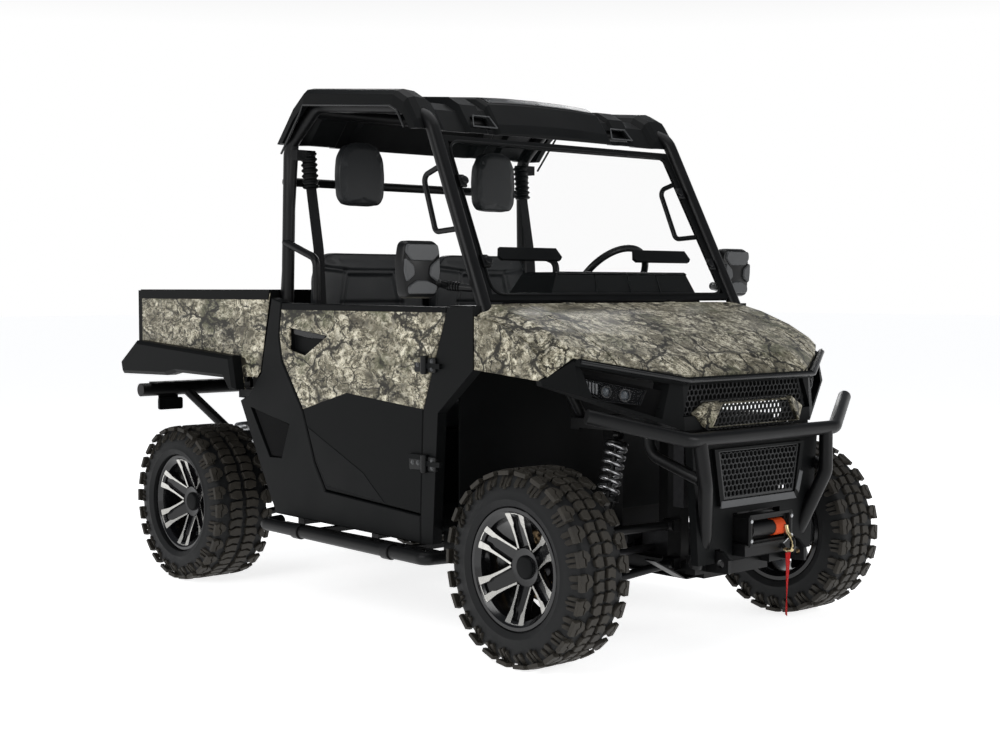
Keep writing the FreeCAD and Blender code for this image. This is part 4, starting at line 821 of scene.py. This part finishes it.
def makeWheels():
    for end, (y, x, half, rimHalf) in wheels.items():
        for name, side in (("left", 1), ("right", -1)):
            hub = (side * x, y, tyreRadius)
            body = "wheel_%s_%s" % (end, name)
            shape = tyreShape(half, rimHalf, hub, side)
            tyre = shape.piece("tread_%s_%s" % (end, name), ["sidewall", "tread"], body, 40)
            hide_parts("tyre_%s_%s" % (end, name))
            shape = rimShape(rimHalf, hub, side)
            finish = ["machined", "rimBlack", "black", "castIron"]
            rim = shape.piece("cast_wheel_%s_%s" % (end, name), finish, body, 30)
            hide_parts("rim_%s_%s" % (end, name))
            plate = discShape(rimHalf, hub, side).piece("disc_%s_%s" % (end, name), ["bronze"], body)
            solid = plate.modifiers.new("thickness", "SOLIDIFY")
            solid.thickness = disc["thickness"]
            solid.offset = 0


makeWheels()
print("wheels")


# Grilles and lamps

honeycombs = {
    "pitch": 21.0, "bar": 2.6, "depth": 9.0, "frame": 0.965, "frameMiddle": 800, "frameDepth": 8,
    "outlines": [  # each with its place along the vehicle
        ([(-296, 928), (296, 928), (334, 824), (252, 824), (228, 868), (-228, 868), (-252, 824),
          (-334, 824)], -321),
        ([(-180, 859), (180, 859), (206, 817), (231, 785), (-231, 785), (-206, 817)], -363),
        ([(-215, 700), (215, 700), (186, 540), (-186, 540)], -386),
    ],
}

# Near-black sheets of painted shade behind the grilles and in the side intakes, with a black plastic lip
# between the grilles.
shadeBackingsAndLip = {
    "upper": [(-300, 935), (300, 935), (336, 820), (250, 820), (226, 859), (-226, 859), (-250, 820),
              (-336, 820)],
    "lower": [(-224, 706), (224, 706), (196, 534), (-196, 534)],
    "lip": [(-345, 738), (345, 738), (332, 812), (300, 812), (245, 774), (-245, 774), (-300, 812),
            (-332, 812)],
    "intake": [(1606, 762), (1356, 708), (1404, 578), (1484, 579)],
}


def insideOutline(x, z, outline):
    hits = 0
    for (x0, z0), (x1, z1) in zip(outline, outline[1:] + outline[:1]):
        if (z0 > z) != (z1 > z) and x < x0 + (x1 - x0) * (z - z0) / (z1 - z0):
            hits += 1
    return hits % 2 == 1


def honeycomb(shape, outline, y):
    # Hexagonal cells, each a short six-sided sleeve, wherever the cell's middle lies inside the outline.
    pitch, bar, depth = honeycombs["pitch"], honeycombs["bar"], honeycombs["depth"]
    corner = pitch / math.sqrt(3)
    sleeve = ((corner + 0.2, depth), (corner + 0.2, 0.8), (corner - bar * 0.5, 0), (corner - bar, 0.8),
              (corner - bar, depth))
    turns = [k * math.pi / 3 for k in range(6)]
    low = min(z for _, z in outline)
    high = max(z for _, z in outline)
    wide = max(x for x, _ in outline)
    row = pitch * math.sqrt(3) / 2
    for j in range(int((high - low) / row) + 2):
        for i in range(-int(wide / pitch) - 1, int(wide / pitch) + 2):
            x, z = (i + (j % 2) / 2) * pitch, low + j * row
            if not insideOutline(x, z, outline):
                continue
            rings = []
            for r, back in sleeve:
                rings.append([(x + r * math.sin(a), y + back, z + r * math.cos(a)) for a in turns])
            shape.loft(rings, 0, False)


def makeGrilles():
    cells = Shape()
    scale, mid, deep = honeycombs["frame"], honeycombs["frameMiddle"], honeycombs["frameDepth"]
    for outline, y in honeycombs["outlines"]:
        honeycomb(cells, outline, y)
        inner = [(x * scale, (z - mid) * scale + mid) for x, z in outline]
        for a, b, c, d in zip(outline, outline[1:] + outline[:1], inner, inner[1:] + inner[:1]):
            front = [(a[0], y, a[1]), (b[0], y, b[1]), (d[0], y - 1, d[1]), (c[0], y - 1, c[1])]
            back = [(x, y + deep, z) for x, _, z in front]
            cells.add(front + back, [(0, 1, 2, 3), (4, 5, 6, 7), (0, 1, 5, 4), (2, 3, 7, 6)])
    grille = cells.piece("honeycomb_grilles", ["mesh"], "chassis", 25)
    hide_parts("grille_mesh")
    # The sheets behind the openings are painted shade; the lip is black plastic.
    shadeBacking = Shape()
    shadeBacking.plateY(shadeBackingsAndLip["upper"], -290, -284)
    shadeBacking.plateY(shadeBackingsAndLip["lower"], -300, -294)
    shadeBacking.plateY(shadeBackingsAndLip["lip"], -326, -332, 0, 1)
    for side in (-1, 1):
        shadeBacking.plateX(shadeBackingsAndLip["intake"], side * 708, side * 716)
    back = shadeBacking.piece("shade_backings_and_lip", ["shadeSheet", "black"], "chassis")


scoop = {
    "outer": [(-222, 866), (222, 866), (286, 830), (236, 779), (-236, 779), (-286, 830)],
    "inner": [(-180, 858), (180, 858), (206, 815), (230, 784), (-230, 784), (-206, 815)],
    # How far from the outer to the inner outline, and the place along the vehicle.
    "section": [(0, -328), (0, -346), (0.06, -350), (0.86, -376), (0.97, -375), (1, -370), (1, -356),
                (0.8, -350), (0.1, -328)],
}


def makeScoop():
    # The scoop's frame: slanting legs that rise to a lip round the opening.
    rings = []
    for k in range(7):
        a, b = scoop["outer"][k % 6], scoop["inner"][k % 6]
        ring = []
        for t, y in scoop["section"]:
            x, z = between(a, b, t)
            ring.append((x, y, z))
        rings.append(ring)
    shape = Shape()
    shape.loft(rings, 0, False)
    frame = shape.piece("scoop_surround", ["camo"], "chassis", 25)
    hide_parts("scoop_frame")


doorPanel = {"outline": [(1232, 712), (872, 562), (748, 464), (1104, 492), (1170, 584)],
             "skin": 716, "proud": 7.5, "chamfer": 5}


def makeDoorPanels():
    skin, proud = doorPanel["skin"], doorPanel["proud"]
    for name, side in (("right", -1), ("left", 1)):
        shape = Shape()
        shape.plateX(doorPanel["outline"], side * skin, side * (skin + proud), doorPanel["chamfer"])
        panel = shape.piece("door_panel_" + name, ["black"], "door_" + name, 20)


shieldTrim = {
    "strips": [[(-204, 538), (183, 538), (199, 514), (-207, 514)],
               [(193, 548), (213, 612), (233, 606), (211, 532)]],
    "guard": [(1070, 374), (990, 370), (963, 348), (962, 294), (980, 278), (1046, 254), (1068, 268)],
}


def makeShieldTrim():
    shape = Shape()
    for outline in shieldTrim["strips"]:
        shape.plateY(outline, -388, -394, 2.5)
    guard = rounded(shieldTrim["guard"], 8, 3)
    for side in (-1, 1):
        shape.plateX(guard, side * 300, side * 304, 1, 1)
    trim = shape.piece("shield_trim", ["greyPad", "clearBar"], "chassis", 25)


lamp = {
    "kink": (334, -345), "along": (0.837, 0.547),  # the fascia's corner, and the way it runs from there
    "glass": [(339, 949), (127, 909), (147, 860), (270, 874), (316, 898)],
    "pocket": [(346, 966), (314, 884), (96, 822), (62, 905)],
    "middle": (200, 903), "rim": 0.05, "facing": (-0.25, 0.95, -0.05),
    "projectors": [(200, 893, 20), (262, 905, 18)],
    "bars": 4, "barStep": (11, 3), "bar": [(288, 896), (295, 899), (295, 934), (288, 931)],
}


def lampAt(d, z, deep):
    (kx, ky), (ax, ay) = lamp["kink"], lamp["along"]
    return (kx + ax * d - ay * deep, ky + ay * d + ax * deep, z)


def makeLamps():
    bowl = Shape()
    # The pocket's back plate is a near-black sheet of painted shade deep inside the lamp.
    bowl.plate(lamp["pocket"], lambda d, z: lampAt(d, z, 40), lambda d, z: lampAt(d, z, 27))
    (md, mz), share = lamp["middle"], lamp["rim"]
    rim = [(d + (md - d) * share, z + (mz - z) * share) for d, z in lamp["glass"]]
    rings = []
    for k in range(len(rim) + 1):
        a, b = lamp["glass"][k % len(rim)], rim[k % len(rim)]
        rings.append([lampAt(*a, 8), lampAt(*b, 8), lampAt(*b, 40), lampAt(*a, 40)])
    bowl.loft(rings, 1, False)
    facing = Vector(lamp["facing"]).normalized()
    for d, z, radius in lamp["projectors"]:
        spot = Vector(lampAt(d, z, 22))
        ring = [(-9, radius - 3), (-9, radius + 2), (14, radius + 2), (14, radius - 3)]
        bowl.turned(ring, spot, facing, 32, 2)
        dome = [(-9, 0.01), (-8.2, radius * 0.4), (-5.5, radius * 0.75), (-1, radius - 3), (10, radius - 3),
                (10, 0.01)]
        bowl.turned(dome, spot, facing, 32, 3)
    for k in range(lamp["bars"]):
        step, rise = lamp["barStep"]
        bar = [(d + step * k, z + rise * k) for d, z in lamp["bar"]]
        bowl.plate(bar, lambda d, z: lampAt(d, z, 30), lambda d, z: lampAt(d, z, 16), 0.8, 4)
    finish = ["shadeSheet", "blackSmooth", "satin", "projector", "clearBar"]
    inside = bowl.mirrored().piece("lamp_bowls", finish, "chassis")
    cover = Shape()
    cover.plate(lamp["glass"], lambda d, z: lampAt(d, z, 12), lambda d, z: lampAt(d, z, 8), 1.5)
    lens = cover.mirrored().piece("lamp_lenses", ["lens"], "chassis")
    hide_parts("headlamps")


makeGrilles()
makeScoop()
makeDoorPanels()
makeShieldTrim()
makeLamps()
print("grilles and lamps")


# Springs and dampers

shock = {
    "feet": [(440, -33, 280.2), (440, wheelbase - 33, 276.5)], "topX": 320, "topZ": 740.7,
    "turns": 6, "steps": 24, "coilStart": 0.56, "coilShare": 0.37, "coilRadius": 33, "wire": 7.2,
    # The body, the rod, the two spring seats and the top mount, from the foot upwards.
    "profiles": [
        [(20, 0.1), (20, 20), (24, 25), (244, 25), (250, 20), (250, 0.1)],
        [(246, 0.1), (246, 9), (440, 9), (440, 0.1)],
        [(246, 12), (246, 37), (250, 41), (258, 41), (258, 12)],
        [(444, 12), (444, 40), (450, 40), (454, 34), (454, 12)],
        [(438, 0.1), (438, 15), (456, 13), (462, 0.1)],
    ],
    "eye": [(-12, 6), (-12, 15), (12, 15), (12, 6)],
}


def makeShocks():
    coils, dampers = Shape(), Shape()
    for place in shock["feet"]:
        foot, top = Vector(place), Vector((shock["topX"], place[1], shock["topZ"]))
        axis = (top - foot).normalized()
        side = axis.orthogonal().normalized()
        up = axis.cross(side)
        length = (top - foot).length
        path = []
        count = shock["turns"] * shock["steps"]
        for k in range(count + 1):
            t = k / count
            a = 2 * math.pi * shock["turns"] * t
            out = (side * math.cos(a) + up * math.sin(a)) * shock["coilRadius"]
            path.append(foot + axis * length * (shock["coilStart"] + shock["coilShare"] * t) + out)
        coils.tube(path, shock["wire"], 10)
        for profile in shock["profiles"]:
            dampers.turned(profile, foot, axis, 32)
        for end in (foot, top):
            dampers.turned(shock["eye"], end, (0, 1, 0), 28)
    springs = coils.mirrored().piece("coil_springs", ["springSteel"], "chassis", 60)
    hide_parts("shocks")
    bodies = dampers.mirrored().piece("dampers", ["blackSmooth"], "chassis")


makeShocks()
print("springs")


# Small fittings

hinge = {
    "heights": ((628, 596), (974, 566)),  # each with the rear end of its leaf
    "lever": [(1337, 1085), (1122, 1062), (1132, 1049), (1240, 1050), (1335, 1064)],
    "pin": [(-32, 0.1), (-32, 11), (-29, 13), (29, 13), (32, 11), (32, 0.1)],
}


def boltHead(shape, place, axis, radius=6.5, slot=0):
    shape.turned([(0, 0.1), (0, radius * 1.5), (1.2, radius * 1.5), (1.4, radius),
                  (radius * 0.7, radius * 0.92), (radius * 0.75, 0.1)], place, axis, 6, slot)


def makeDoorFittings():
    for name, side in (("left", 1), ("right", -1)):
        shape = Shape()
        shape.plateX(hinge["lever"], side * 699, side * 711, 2.5)
        for z, rear in hinge["heights"]:
            leaf = rounded([(516, z - 24), (rear, z - 27), (rear, z + 27), (516, z + 24)], 7, 3)
            shape.plateX(leaf, side * 721, side * 732, 2.5, 1)
            shape.turned(hinge["pin"], (side * 733, 510, z), (0, 0, 1), 20, 1)
            for y in (rear - 50, rear - 20):
                boltHead(shape, (side * 731.5, y, z), (side, 0, 0), 6.5, 2)
        fitting = shape.piece("door_fittings_" + name, ["satin", "blackSmooth", "greyPad"], "door_" + name)
    posts = Shape()
    for z, _ in hinge["heights"]:
        leaf = rounded([(452, z - 26), (495, z - 26), (495, z + 26), (452, z + 26)], 7, 3)
        posts.plateX(leaf, 719, 731, 2.5)
        for q in (z - 13, z + 13):
            boltHead(posts, (730.5, 470, q), (1, 0, 0), 6.0, 1)
    bolts = posts.mirrored().piece("hinge_leaves", ["blackSmooth", "greyPad"], "chassis")


sideBar = {
    "joints": (650, 1205), "collar": [(-22, 23), (-22, 28), (-20, 30), (20, 30), (22, 28), (22, 23)],
    "web": [(700, 296), (772, 296), (772, 314), (726, 318), (700, 318)],
    "board": ((702, -4), (764, -4), (764, 2), (702, 2)), "ends": (466, 1432),
    "ribs": 45, "ribPitch": 21, "rib": [(0, -1), (15, -1), (11, 11), (4, 11)],
}


def sideBarZ(y):
    return 318 - 13 * (1440 - y) / 992


def makeSideBars():
    shape = Shape()
    for y in sideBar["joints"]:
        shape.turned(sideBar["collar"], (782, y, sideBarZ(y)), (0, 1, 0), 28)
        for back in (-20, 20):
            shape.plateY(sideBar["web"], y + back - 2, y + back + 2, 0.6)
    shape.loft([[(x, y, sideBarZ(y) + z) for x, z in sideBar["board"]] for y in sideBar["ends"]])
    for k in range(sideBar["ribs"]):
        rib = [(470 + sideBar["ribPitch"] * k + y, z) for y, z in sideBar["rib"]]
        shape.plate(rib, lambda y, z: (738, y, sideBarZ(y) + z), lambda y, z: (742, y, sideBarZ(y) + z), 0.4)
    bars = shape.mirrored().piece("side_bar_collars", ["coat"], "chassis")


winch = {
    "drum": (0, -408, 431), "turns": 9, "turnPitch": 5.6, "drumStart": 34, "drumEnd": 85,
    "hook": [(78, -440, 436), (78, -446, 412), (78, -462, 396), (78, -471.5, 384), (78, -472.3, 368),
             (78, -466, 355), (78, -452, 351), (78, -438, 354), (78, -427, 366)],
    "hookRadii": [8.2, 8.2, 8.0, 7.9, 7.6, 7.6, 7.6, 7.3, 6.0],
    "latch": [(78, -458, 402), (78, -446, 388), (78, -431, 374)],
    "rollers": (480, 382), "roller": [(-116, -2), (116, -2), (112, 7), (-112, 7)],
    "posts": (-107, 107), "bolts": (400, 466),
}


def makeWinch():
    shape = Shape()
    wound = [(winch["drumStart"], 20)]
    for k in range(winch["turns"]):
        x = winch["turnPitch"] * k
        wound += [(34 + x, 26.2), (36 + x, 29.5), (38.5 + x, 29.5)]
    shape.turned(wound + [(winch["drumEnd"], 20)], winch["drum"], (1, 0, 0), 40, 0)
    shape.tube(winch["hook"], winch["hookRadii"], 14, 1)
    shape.tube(winch["latch"], 2.4, 8, 2)
    for height in winch["rollers"]:
        shape.plateY([(x, height + z) for x, z in winch["roller"]], -436, -440, 1.0, 3)
    for x in winch["posts"]:
        shape.tube([(x, -434, 384), (x, -434, 482)], 8.5, 16, 3)
        for z in winch["bolts"]:
            boltHead(shape, (x, -442.5, z), (0, -1, 0), 4.5, 2)
    parts = shape.piece("winch_fittings", ["orange", "gold", "steel", "coat"], "chassis", 40)


pullStrap = {
    "path": [(78, -450.5, 344.4), (77.4, -450.6, 300), (75.6, -450.3, 245), (73.4, -450.5, 190),
             (71.5, -450.5, 129)],
    "twist": 0.22,  # radians from each point of the path to the next
    "section": [(-13, -1.1), (-11, -1.5), (-10, -1.0), (10, -1.0), (11, -1.5), (13, -1.1), (13, 1.1),
                (11, 1.5), (10, 1.0), (-10, 1.0), (-11, 1.5), (-13, 1.1)],
}


def makeStrap():
    # The flat pull strap: a ribbon with sewn edges that hangs from the hook.
    shape = Shape()
    rings = []
    for k, (x, y, z) in enumerate(pullStrap["path"]):
        c, s = math.cos(pullStrap["twist"] * k), math.sin(pullStrap["twist"] * k)
        rings.append([(x + u * c - v * s, y + u * s + v * c, z) for u, v in pullStrap["section"]])
    shape.loft(rings)
    strap = shape.piece("pull_strap", ["strap"], "chassis", 50)
    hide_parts("winch_strap")


boot = {"top": (572, 1425, 1780), "foot": (572, 1408, 1636), "steps": 40, "ribs": (26, 29, 33, 33, 29, 26)}


def makeBeltBoots():
    shape = Shape()
    steps = range(boot["steps"] + 1)
    path = [between(boot["top"], boot["foot"], k / boot["steps"]) for k in steps]
    shape.tube(path, [boot["ribs"][k % 6] for k in steps], 20)
    boots = shape.mirrored().piece("belt_boots", ["black"], "chassis", 60)


makeDoorFittings()
makeSideBars()
makeWinch()
makeStrap()
makeBeltBoots()
print("fittings")


# Seats

seat = {
    "back": [(36, 806), (574, 806), (580, 1150), (572, 1310), (524, 1387), (86, 1387), (38, 1310),
             (30, 1150)],
    "backPanel": [(178, 1312), (432, 1312), (474, 1110), (474, 860), (136, 860), (136, 1110)],
    "backSeams": [[(150, 1180), (460, 1180)], [(136, 1020), (474, 1020)], [(48, 1326), (178, 1312)],
                  [(432, 1312), (562, 1326)]],
    "cushion": [(34, 918), (576, 918), (580, 1120), (576, 1314), (34, 1314), (30, 1120)],
    "cushionPanel": [(150, 960), (460, 960), (474, 1290), (136, 1290)],
    "cushionSeams": [[(142, 1070), (468, 1070)], [(138, 1180), (472, 1180)]],
    # Each layer's height or place along, and how much wider its outline is.
    "cushionLayers": ((696, -4), (704, 0), (786, 0), (800, -14)),
    "headLayers": ((1347, -9), (1352, 0), (1392, 0), (1399, -10)),
    "head": [(278, 1574), (442, 1574), (466, 1606), (472, 1690), (466, 1762), (440, 1808), (396, 1824),
             (324, 1824), (280, 1808), (254, 1762), (248, 1690), (254, 1606)],
    # The voxel's size in metres, the air's pressure, and the furthest that a point may swell.
    "air": (0.0095, 4.0, 0.006), "headAir": (0.0055, 1.5, 0.003), "frames": 20,
    "panelFade": 26, "panelSeam": (5.5, 6.5), "seam": (6.0, 9), "welt": 2.4, "weltLift": 0.0006,
}


def inflate(obj, voxel, pressure, cap):
    # Remeshes a closed shape and blows it up as cloth, with each point's way capped in metres.
    mesh = obj.data
    remesh = obj.modifiers.new("remesh", "REMESH")
    remesh.mode = "VOXEL"
    remesh.voxel_size = voxel
    bpy.context.view_layer.update()
    even = bpy.data.meshes.new_from_object(obj.evaluated_get(bpy.context.evaluated_depsgraph_get()))
    obj.modifiers.clear()
    even.materials.clear()
    for material in mesh.materials:
        even.materials.append(material)
    obj.data = even
    start = [v.co.copy() for v in even.vertices]
    cloth = obj.modifiers.new("air", "CLOTH")
    cloth.settings.use_pressure = True
    cloth.settings.uniform_pressure_force = pressure
    cloth.settings.effector_weights.gravity = 0
    cloth.settings.quality = 4
    for step in range(1, seat["frames"] + 1):
        bpy.context.scene.frame_set(step)
    swollen = obj.evaluated_get(bpy.context.evaluated_depsgraph_get()).data
    ends = [v.co.copy() for v in swollen.vertices]
    obj.modifiers.clear()
    bpy.context.scene.frame_set(1)
    for vertex, a, b in zip(even.vertices, start, ends):
        way = b - a
        vertex.co = a + way * min(1, cap / max(way.length, 1e-9))


def subdivided(obj):
    level = obj.modifiers.new("smooth", "SUBSURF")
    level.levels = level.render_levels = 1
    bpy.context.view_layer.update()
    mesh = bpy.data.meshes.new_from_object(obj.evaluated_get(bpy.context.evaluated_depsgraph_get()))
    obj.modifiers.clear()
    obj.data = mesh
    mesh.shade_smooth()


def distanceToPath(u, v, path):
    best = 1e9
    for (a0, a1), (b0, b1) in zip(path, path[1:]):
        du, dv = b0 - a0, b1 - a1
        t = max(0, min(1, ((u - a0) * du + (v - a1) * dv) / (du * du + dv * dv)))
        best = min(best, math.hypot(u - a0 - du * t, v - a1 - dv * t))
    return best


def smoothStep(t):
    t = max(0, min(1, t))
    return t * t * (3 - 2 * t)


def dip(away, depthAndWidth):
    depth, width = depthAndWidth
    return depth * math.exp(-(away / width) ** 2)


def sew(obj, across, up, facing, panel, sink, seams):
    # Sinks the middle panel and draws each seam in, on the faces that look along facing.
    closed = panel + panel[:1]
    for vertex in obj.data.vertices:
        turn = smoothStep((vertex.normal.dot(facing) - 0.35) / 0.4)
        if not turn:
            continue
        u = vertex.co[across] * 1000
        v = (vertex.co[up] - (frontAxleY if up == 1 else 0)) * 1000
        away = distanceToPath(u, v, closed)
        depth = sink * smoothStep(away / seat["panelFade"]) if insideOutline(u, v, panel) else 0
        depth += dip(away, seat["panelSeam"])
        for seam in seams:
            depth += dip(distanceToPath(u, v, seam), seat["seam"])
        vertex.co -= facing * depth * turn / 1000


def twin(obj, name):
    # The same piece on the vehicle's other side.
    mesh = obj.data.copy()
    for vertex in mesh.vertices:
        vertex.co.x = -vertex.co.x
    bm = bmesh.new()
    bm.from_mesh(mesh)
    bmesh.ops.reverse_faces(bm, faces=bm.faces)
    bm.to_mesh(mesh)
    bm.free()
    mesh.name = name
    other = bpy.data.objects.new(name, mesh)
    bpy.context.collection.objects.link(other)
    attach(other, "chassis")
    return other


def pipingOn(obj, outline, place, name):
    # A welt that follows the sewn edge, laid on the padded surface.
    path = []
    lift = seat["weltLift"]
    for u, v in outline + outline[:1]:
        x, y, z = place(u, v)
        _, spot, normal, _ = obj.closest_point_on_mesh(Vector((x / 1000, rowY(y), z / 1000)))
        path.append(((spot.x + normal.x * lift) * 1000, (spot.y + normal.y * lift - frontAxleY) * 1000,
                     (spot.z + normal.z * lift) * 1000))
    shape = Shape()
    shape.tube(path, seat["welt"], 8, 0, False)
    welt = shape.mirrored().piece(name, ["piping"], "chassis", 60)


def backFront(z):
    return 1324 + (z - 806) * 0.077


def paddedPiece(name, node, rings, settings, sewing):
    shape = Shape()
    shape.loft(rings)
    obj = shape.piece(name + "_left", ["vinyl"], "chassis")
    inflate(obj, *settings)
    subdivided(obj)
    if sewing:
        sew(obj, *sewing)
        obj.data.update()
    other = twin(obj, name + "_right")
    for piece, side in ((obj, "left"), (other, "right")):
        if node + "_" + side in nodes:
            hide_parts(node + "_" + side)
        elif side == "left":
            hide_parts(node)
    return obj


def makeSeats():
    outline = rounded(seat["back"], 46)
    rings = [[(x, backFront(z) + 12, z) for x, z in grown(outline, -12)],
             [(x, backFront(z) + 5, z) for x, z in outline],
             [(x, 1420, z) for x, z in outline],
             [(x, 1426, z) for x, z in grown(outline, -6)]]
    sewing = (0, 2, Vector((0, -1, 0)), seat["backPanel"], 13, seat["backSeams"])
    back = paddedPiece("seat_back", "seat_backs", rings, seat["air"], sewing)
    pipingOn(back, grown(outline, -3), lambda x, z: (x, backFront(z) - 2, z), "seat_back_piping")
    outline = rounded(seat["cushion"], 40)
    rings = [[(x, y, z) for x, y in grown(outline, g)] for z, g in seat["cushionLayers"]]
    sewing = (0, 1, Vector((0, 0, 1)), seat["cushionPanel"], 12, seat["cushionSeams"])
    cushion = paddedPiece("seat_cushion", "seat_cushions", rings, seat["air"], sewing)
    pipingOn(cushion, grown(outline, -4), lambda x, y: (x, y, 804), "seat_cushion_piping")
    outline = rounded(seat["head"], 18, 4)
    rings = [[(x, y, z) for x, z in grown(outline, g)] for y, g in seat["headLayers"]]
    head = paddedPiece("headrest", "headrests", rings, seat["headAir"], None)
    pipingOn(head, grown(outline, 1), lambda x, z: (x, 1350, z), "headrest_piping")


makeSeats()
print("seats")


# Mirrors

mirror = {
    "head": [(746, 1252), (768, 1206), (902, 1208), (916, 1320), (902, 1402), (762, 1402), (744, 1366)],
    "layers": ((436, -8), (436, -3), (440, -2), (441, 0), (416, 0), (404, -5), (399, -13)),
    "arm": [(772, 420, 1262), (735, 421, 1258), (702, 418, 1250), (684, 392, 1246), (668, 350, 1242),
            (654, 318, 1240)],
    "armRadii": [13, 13, 14, 14, 13, 13],
    "joint": [(-9, 0.1), (-9, 19), (-5, 22), (10, 22), (14, 18), (14, 0.1)],
    "rib": [(-2, 11), (-2, 16.5), (2, 16.5), (2, 11)],
    "pads": [
        [(764, 1390), (898, 1390), (902, 1362), (880, 1334), (786, 1334), (756, 1358)],
        [(758, 1344), (796, 1318), (800, 1284), (764, 1262), (754, 1300)],
        [(906, 1344), (868, 1320), (864, 1286), (898, 1262), (908, 1300)],
        [(764, 1248), (810, 1268), (856, 1268), (894, 1246), (890, 1222), (776, 1222)],
    ],
}


def makeMirrors():
    heads, pads = Shape(), Shape()
    outline = rounded(mirror["head"], 26)
    heads.loft([[(x, y, z) for x, z in grown(outline, g)] for y, g in mirror["layers"]])
    heads.plateY(grown(outline, -9), 436, 438.5, 1.2, 1)
    heads.tube(mirror["arm"], mirror["armRadii"], 18)
    heads.turned(mirror["joint"], (756, 420, 1260), (1, 0, 0), 24)
    for k in range(5):
        heads.turned(mirror["rib"], (700 - 4 * k, 416 - 9 * k, 1250 - k), (0.4, 0.9, 0.1), 20)
    for points in mirror["pads"]:
        pads.plateY(rounded(points, 9, 3), 402, 391, 4.5)
    body = heads.mirrored().piece("mirror_heads", ["blackSmooth", "mirror"], "chassis", 35)
    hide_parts("mirrors")
    backs = pads.mirrored().piece("mirror_pads", ["greyPad"], "chassis", 30)


makeMirrors()


# Roof, windshield and tail details

roof = {
    "strip": [(0.22, 0), (0.25, 2.2), (0.86, 2.2), (0.90, 0)], "stripHalf": 276, "stripSteps": 24,
    "vent": [(304, 603, 1830), (322, 629, 1872), (402, 629, 1872), (420, 603, 1830)],
    "lip": [(691, 1439, 1767), (691, 1314, 1910), (691, 1290, 1944), (691, 751, 1896), (691, 711, 1878),
            (691, 668, 1812)],
    "brow": [(-640, -172, 1003), (-336, -360, 940), (-328, -362, 939), (328, -362, 939), (336, -360, 940),
             (640, -172, 1003)],
}


def roofAt(x, along, lift=0.0):
    # A point on the slope between the roof's front edge and its top.
    h = 8 - 2 * min(abs(x), 150) / 150 - 6 * max(0, abs(x) - 150) / 136 + lift
    return (x, 672 + 62 * along - 0.459 * h, 1924 + 32 * along + 0.888 * h)


def makeRoofTrim():
    shape = Shape()
    step = 2 * roof["stripHalf"] // roof["stripSteps"]
    rings = []
    for k in range(roof["stripSteps"] + 1):
        rings.append([roofAt(step * k - roof["stripHalf"], along, lift) for along, lift in roof["strip"]])
    shape.loft(rings, 0)
    for side in (-1, 1):
        ring = [(side * x, y, z) for x, y, z in roof["vent"]]
        shape.tube(ring, 2.6, 8, 1)
        shape.tube([ring[-1], ring[0]], 2.6, 8, 1)
    strip = shape.piece("roof_trim", ["satin", "greyPad"], "chassis", 40)
    lip = Shape()
    lip.tube(roof["lip"], 4.5, 10)
    edge = lip.mirrored().piece("roof_lip", ["satin"], "chassis", 60)
    brow = Shape()
    brow.tube(roof["brow"], 6.5, 14)
    shine = brow.piece("brow_edge", ["satin"], "chassis", 60)


screen = {
    "lean": math.radians(27.3), "foot": (284, 1196), "latches": (150, 470), "ends": (22, 638),
    "knob": [(0, 0.1), (0, 15), (3, 16), (9, 16), (12, 13), (13, 0.1)],
}


def screenAt(x, s, out):
    # A point s up the windshield's slope and out from its glass.
    a = screen["lean"]
    y, z = screen["foot"]
    return (x, y + s * math.sin(a) - out * math.cos(a), z + s * math.cos(a) + out * math.sin(a))


def screenHalf(s):
    return 634.7 - 38 * s / 660


def makeScreenTrim():
    shape = Shape()
    outwards = (0, -math.cos(screen["lean"]), math.sin(screen["lean"]))
    for s in screen["latches"]:
        half = screenHalf(s)
        latch = [(half - 46, s - 24), (half - 14, s - 24), (half - 14, s + 24), (half - 46, s + 24)]
        shape.plate(latch, lambda x, t: screenAt(x, t, 8.5), lambda x, t: screenAt(x, t, 19), 3.5)
        shape.turned(screen["knob"], screenAt(half - 40, s, 14), outwards, 20)
    latches = shape.mirrored().piece("screen_latches", ["blackSmooth"], "chassis", 35)
    seal = Shape()
    low, high = screen["ends"]
    a, b = screenHalf(low) - 25, screenHalf(high) - 25
    loop = rounded([(-a, low), (a, low), (b, high), (-b, high)], 60, 8)
    seal.tube([screenAt(x, s, 7.5) for x, s in loop + loop[:1]], 5.5, 10, 0, False)
    edge = seal.piece("screen_seal", ["black"], "chassis", 60)


# Half width, bottom, top, corner, front, back and chamfer of each tail lamp's case and lens.
tailLamp = {"x": 500, "case": (61, 686, 740, 10, 2626.5, 2643, 3),
            "lens": (55, 692, 734, 8, 2642, 2647.5, 2.5)}


def makeTailLamps():
    shape = Shape()
    for x in (-tailLamp["x"], tailLamp["x"]):
        for slot, part in enumerate(("case", "lens")):
            half, low, high, corner, front, back, chamfer = tailLamp[part]
            corners = [(x - half, low), (x + half, low), (x + half, high), (x - half, high)]
            shape.plateY(rounded(corners, corner, 4), front, back, chamfer, slot)
    lamps = shape.piece("tail_lamp_cases", ["black", "redLens"], "chassis", 35)
    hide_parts("tail_lamps")


gaugeHood = {"seams": (-60, 130, 300), "lip": [(-246, 351, 1291), (-240, 356, 1297), (454, 356, 1297),
                                               (460, 351, 1291)]}


def makeHoodDetail():
    # Seams over the gauge hood and a rounded lip along its top.
    shape = Shape()
    for x in gaugeHood["seams"]:
        shape.tube([(x, 318.5, 1176), (x * 0.92 + 8, 350, 1290.5), (x * 0.9 + 10, 366, 1301)], 2.0, 8)
    shape.tube(gaugeHood["lip"], 5.0, 12)
    trim = shape.piece("gauge_hood_seams", ["blackSmooth"], "chassis", 60)


makeRoofTrim()
makeScreenTrim()
makeTailLamps()
makeHoodDetail()
print("mirrors, roof and screen")
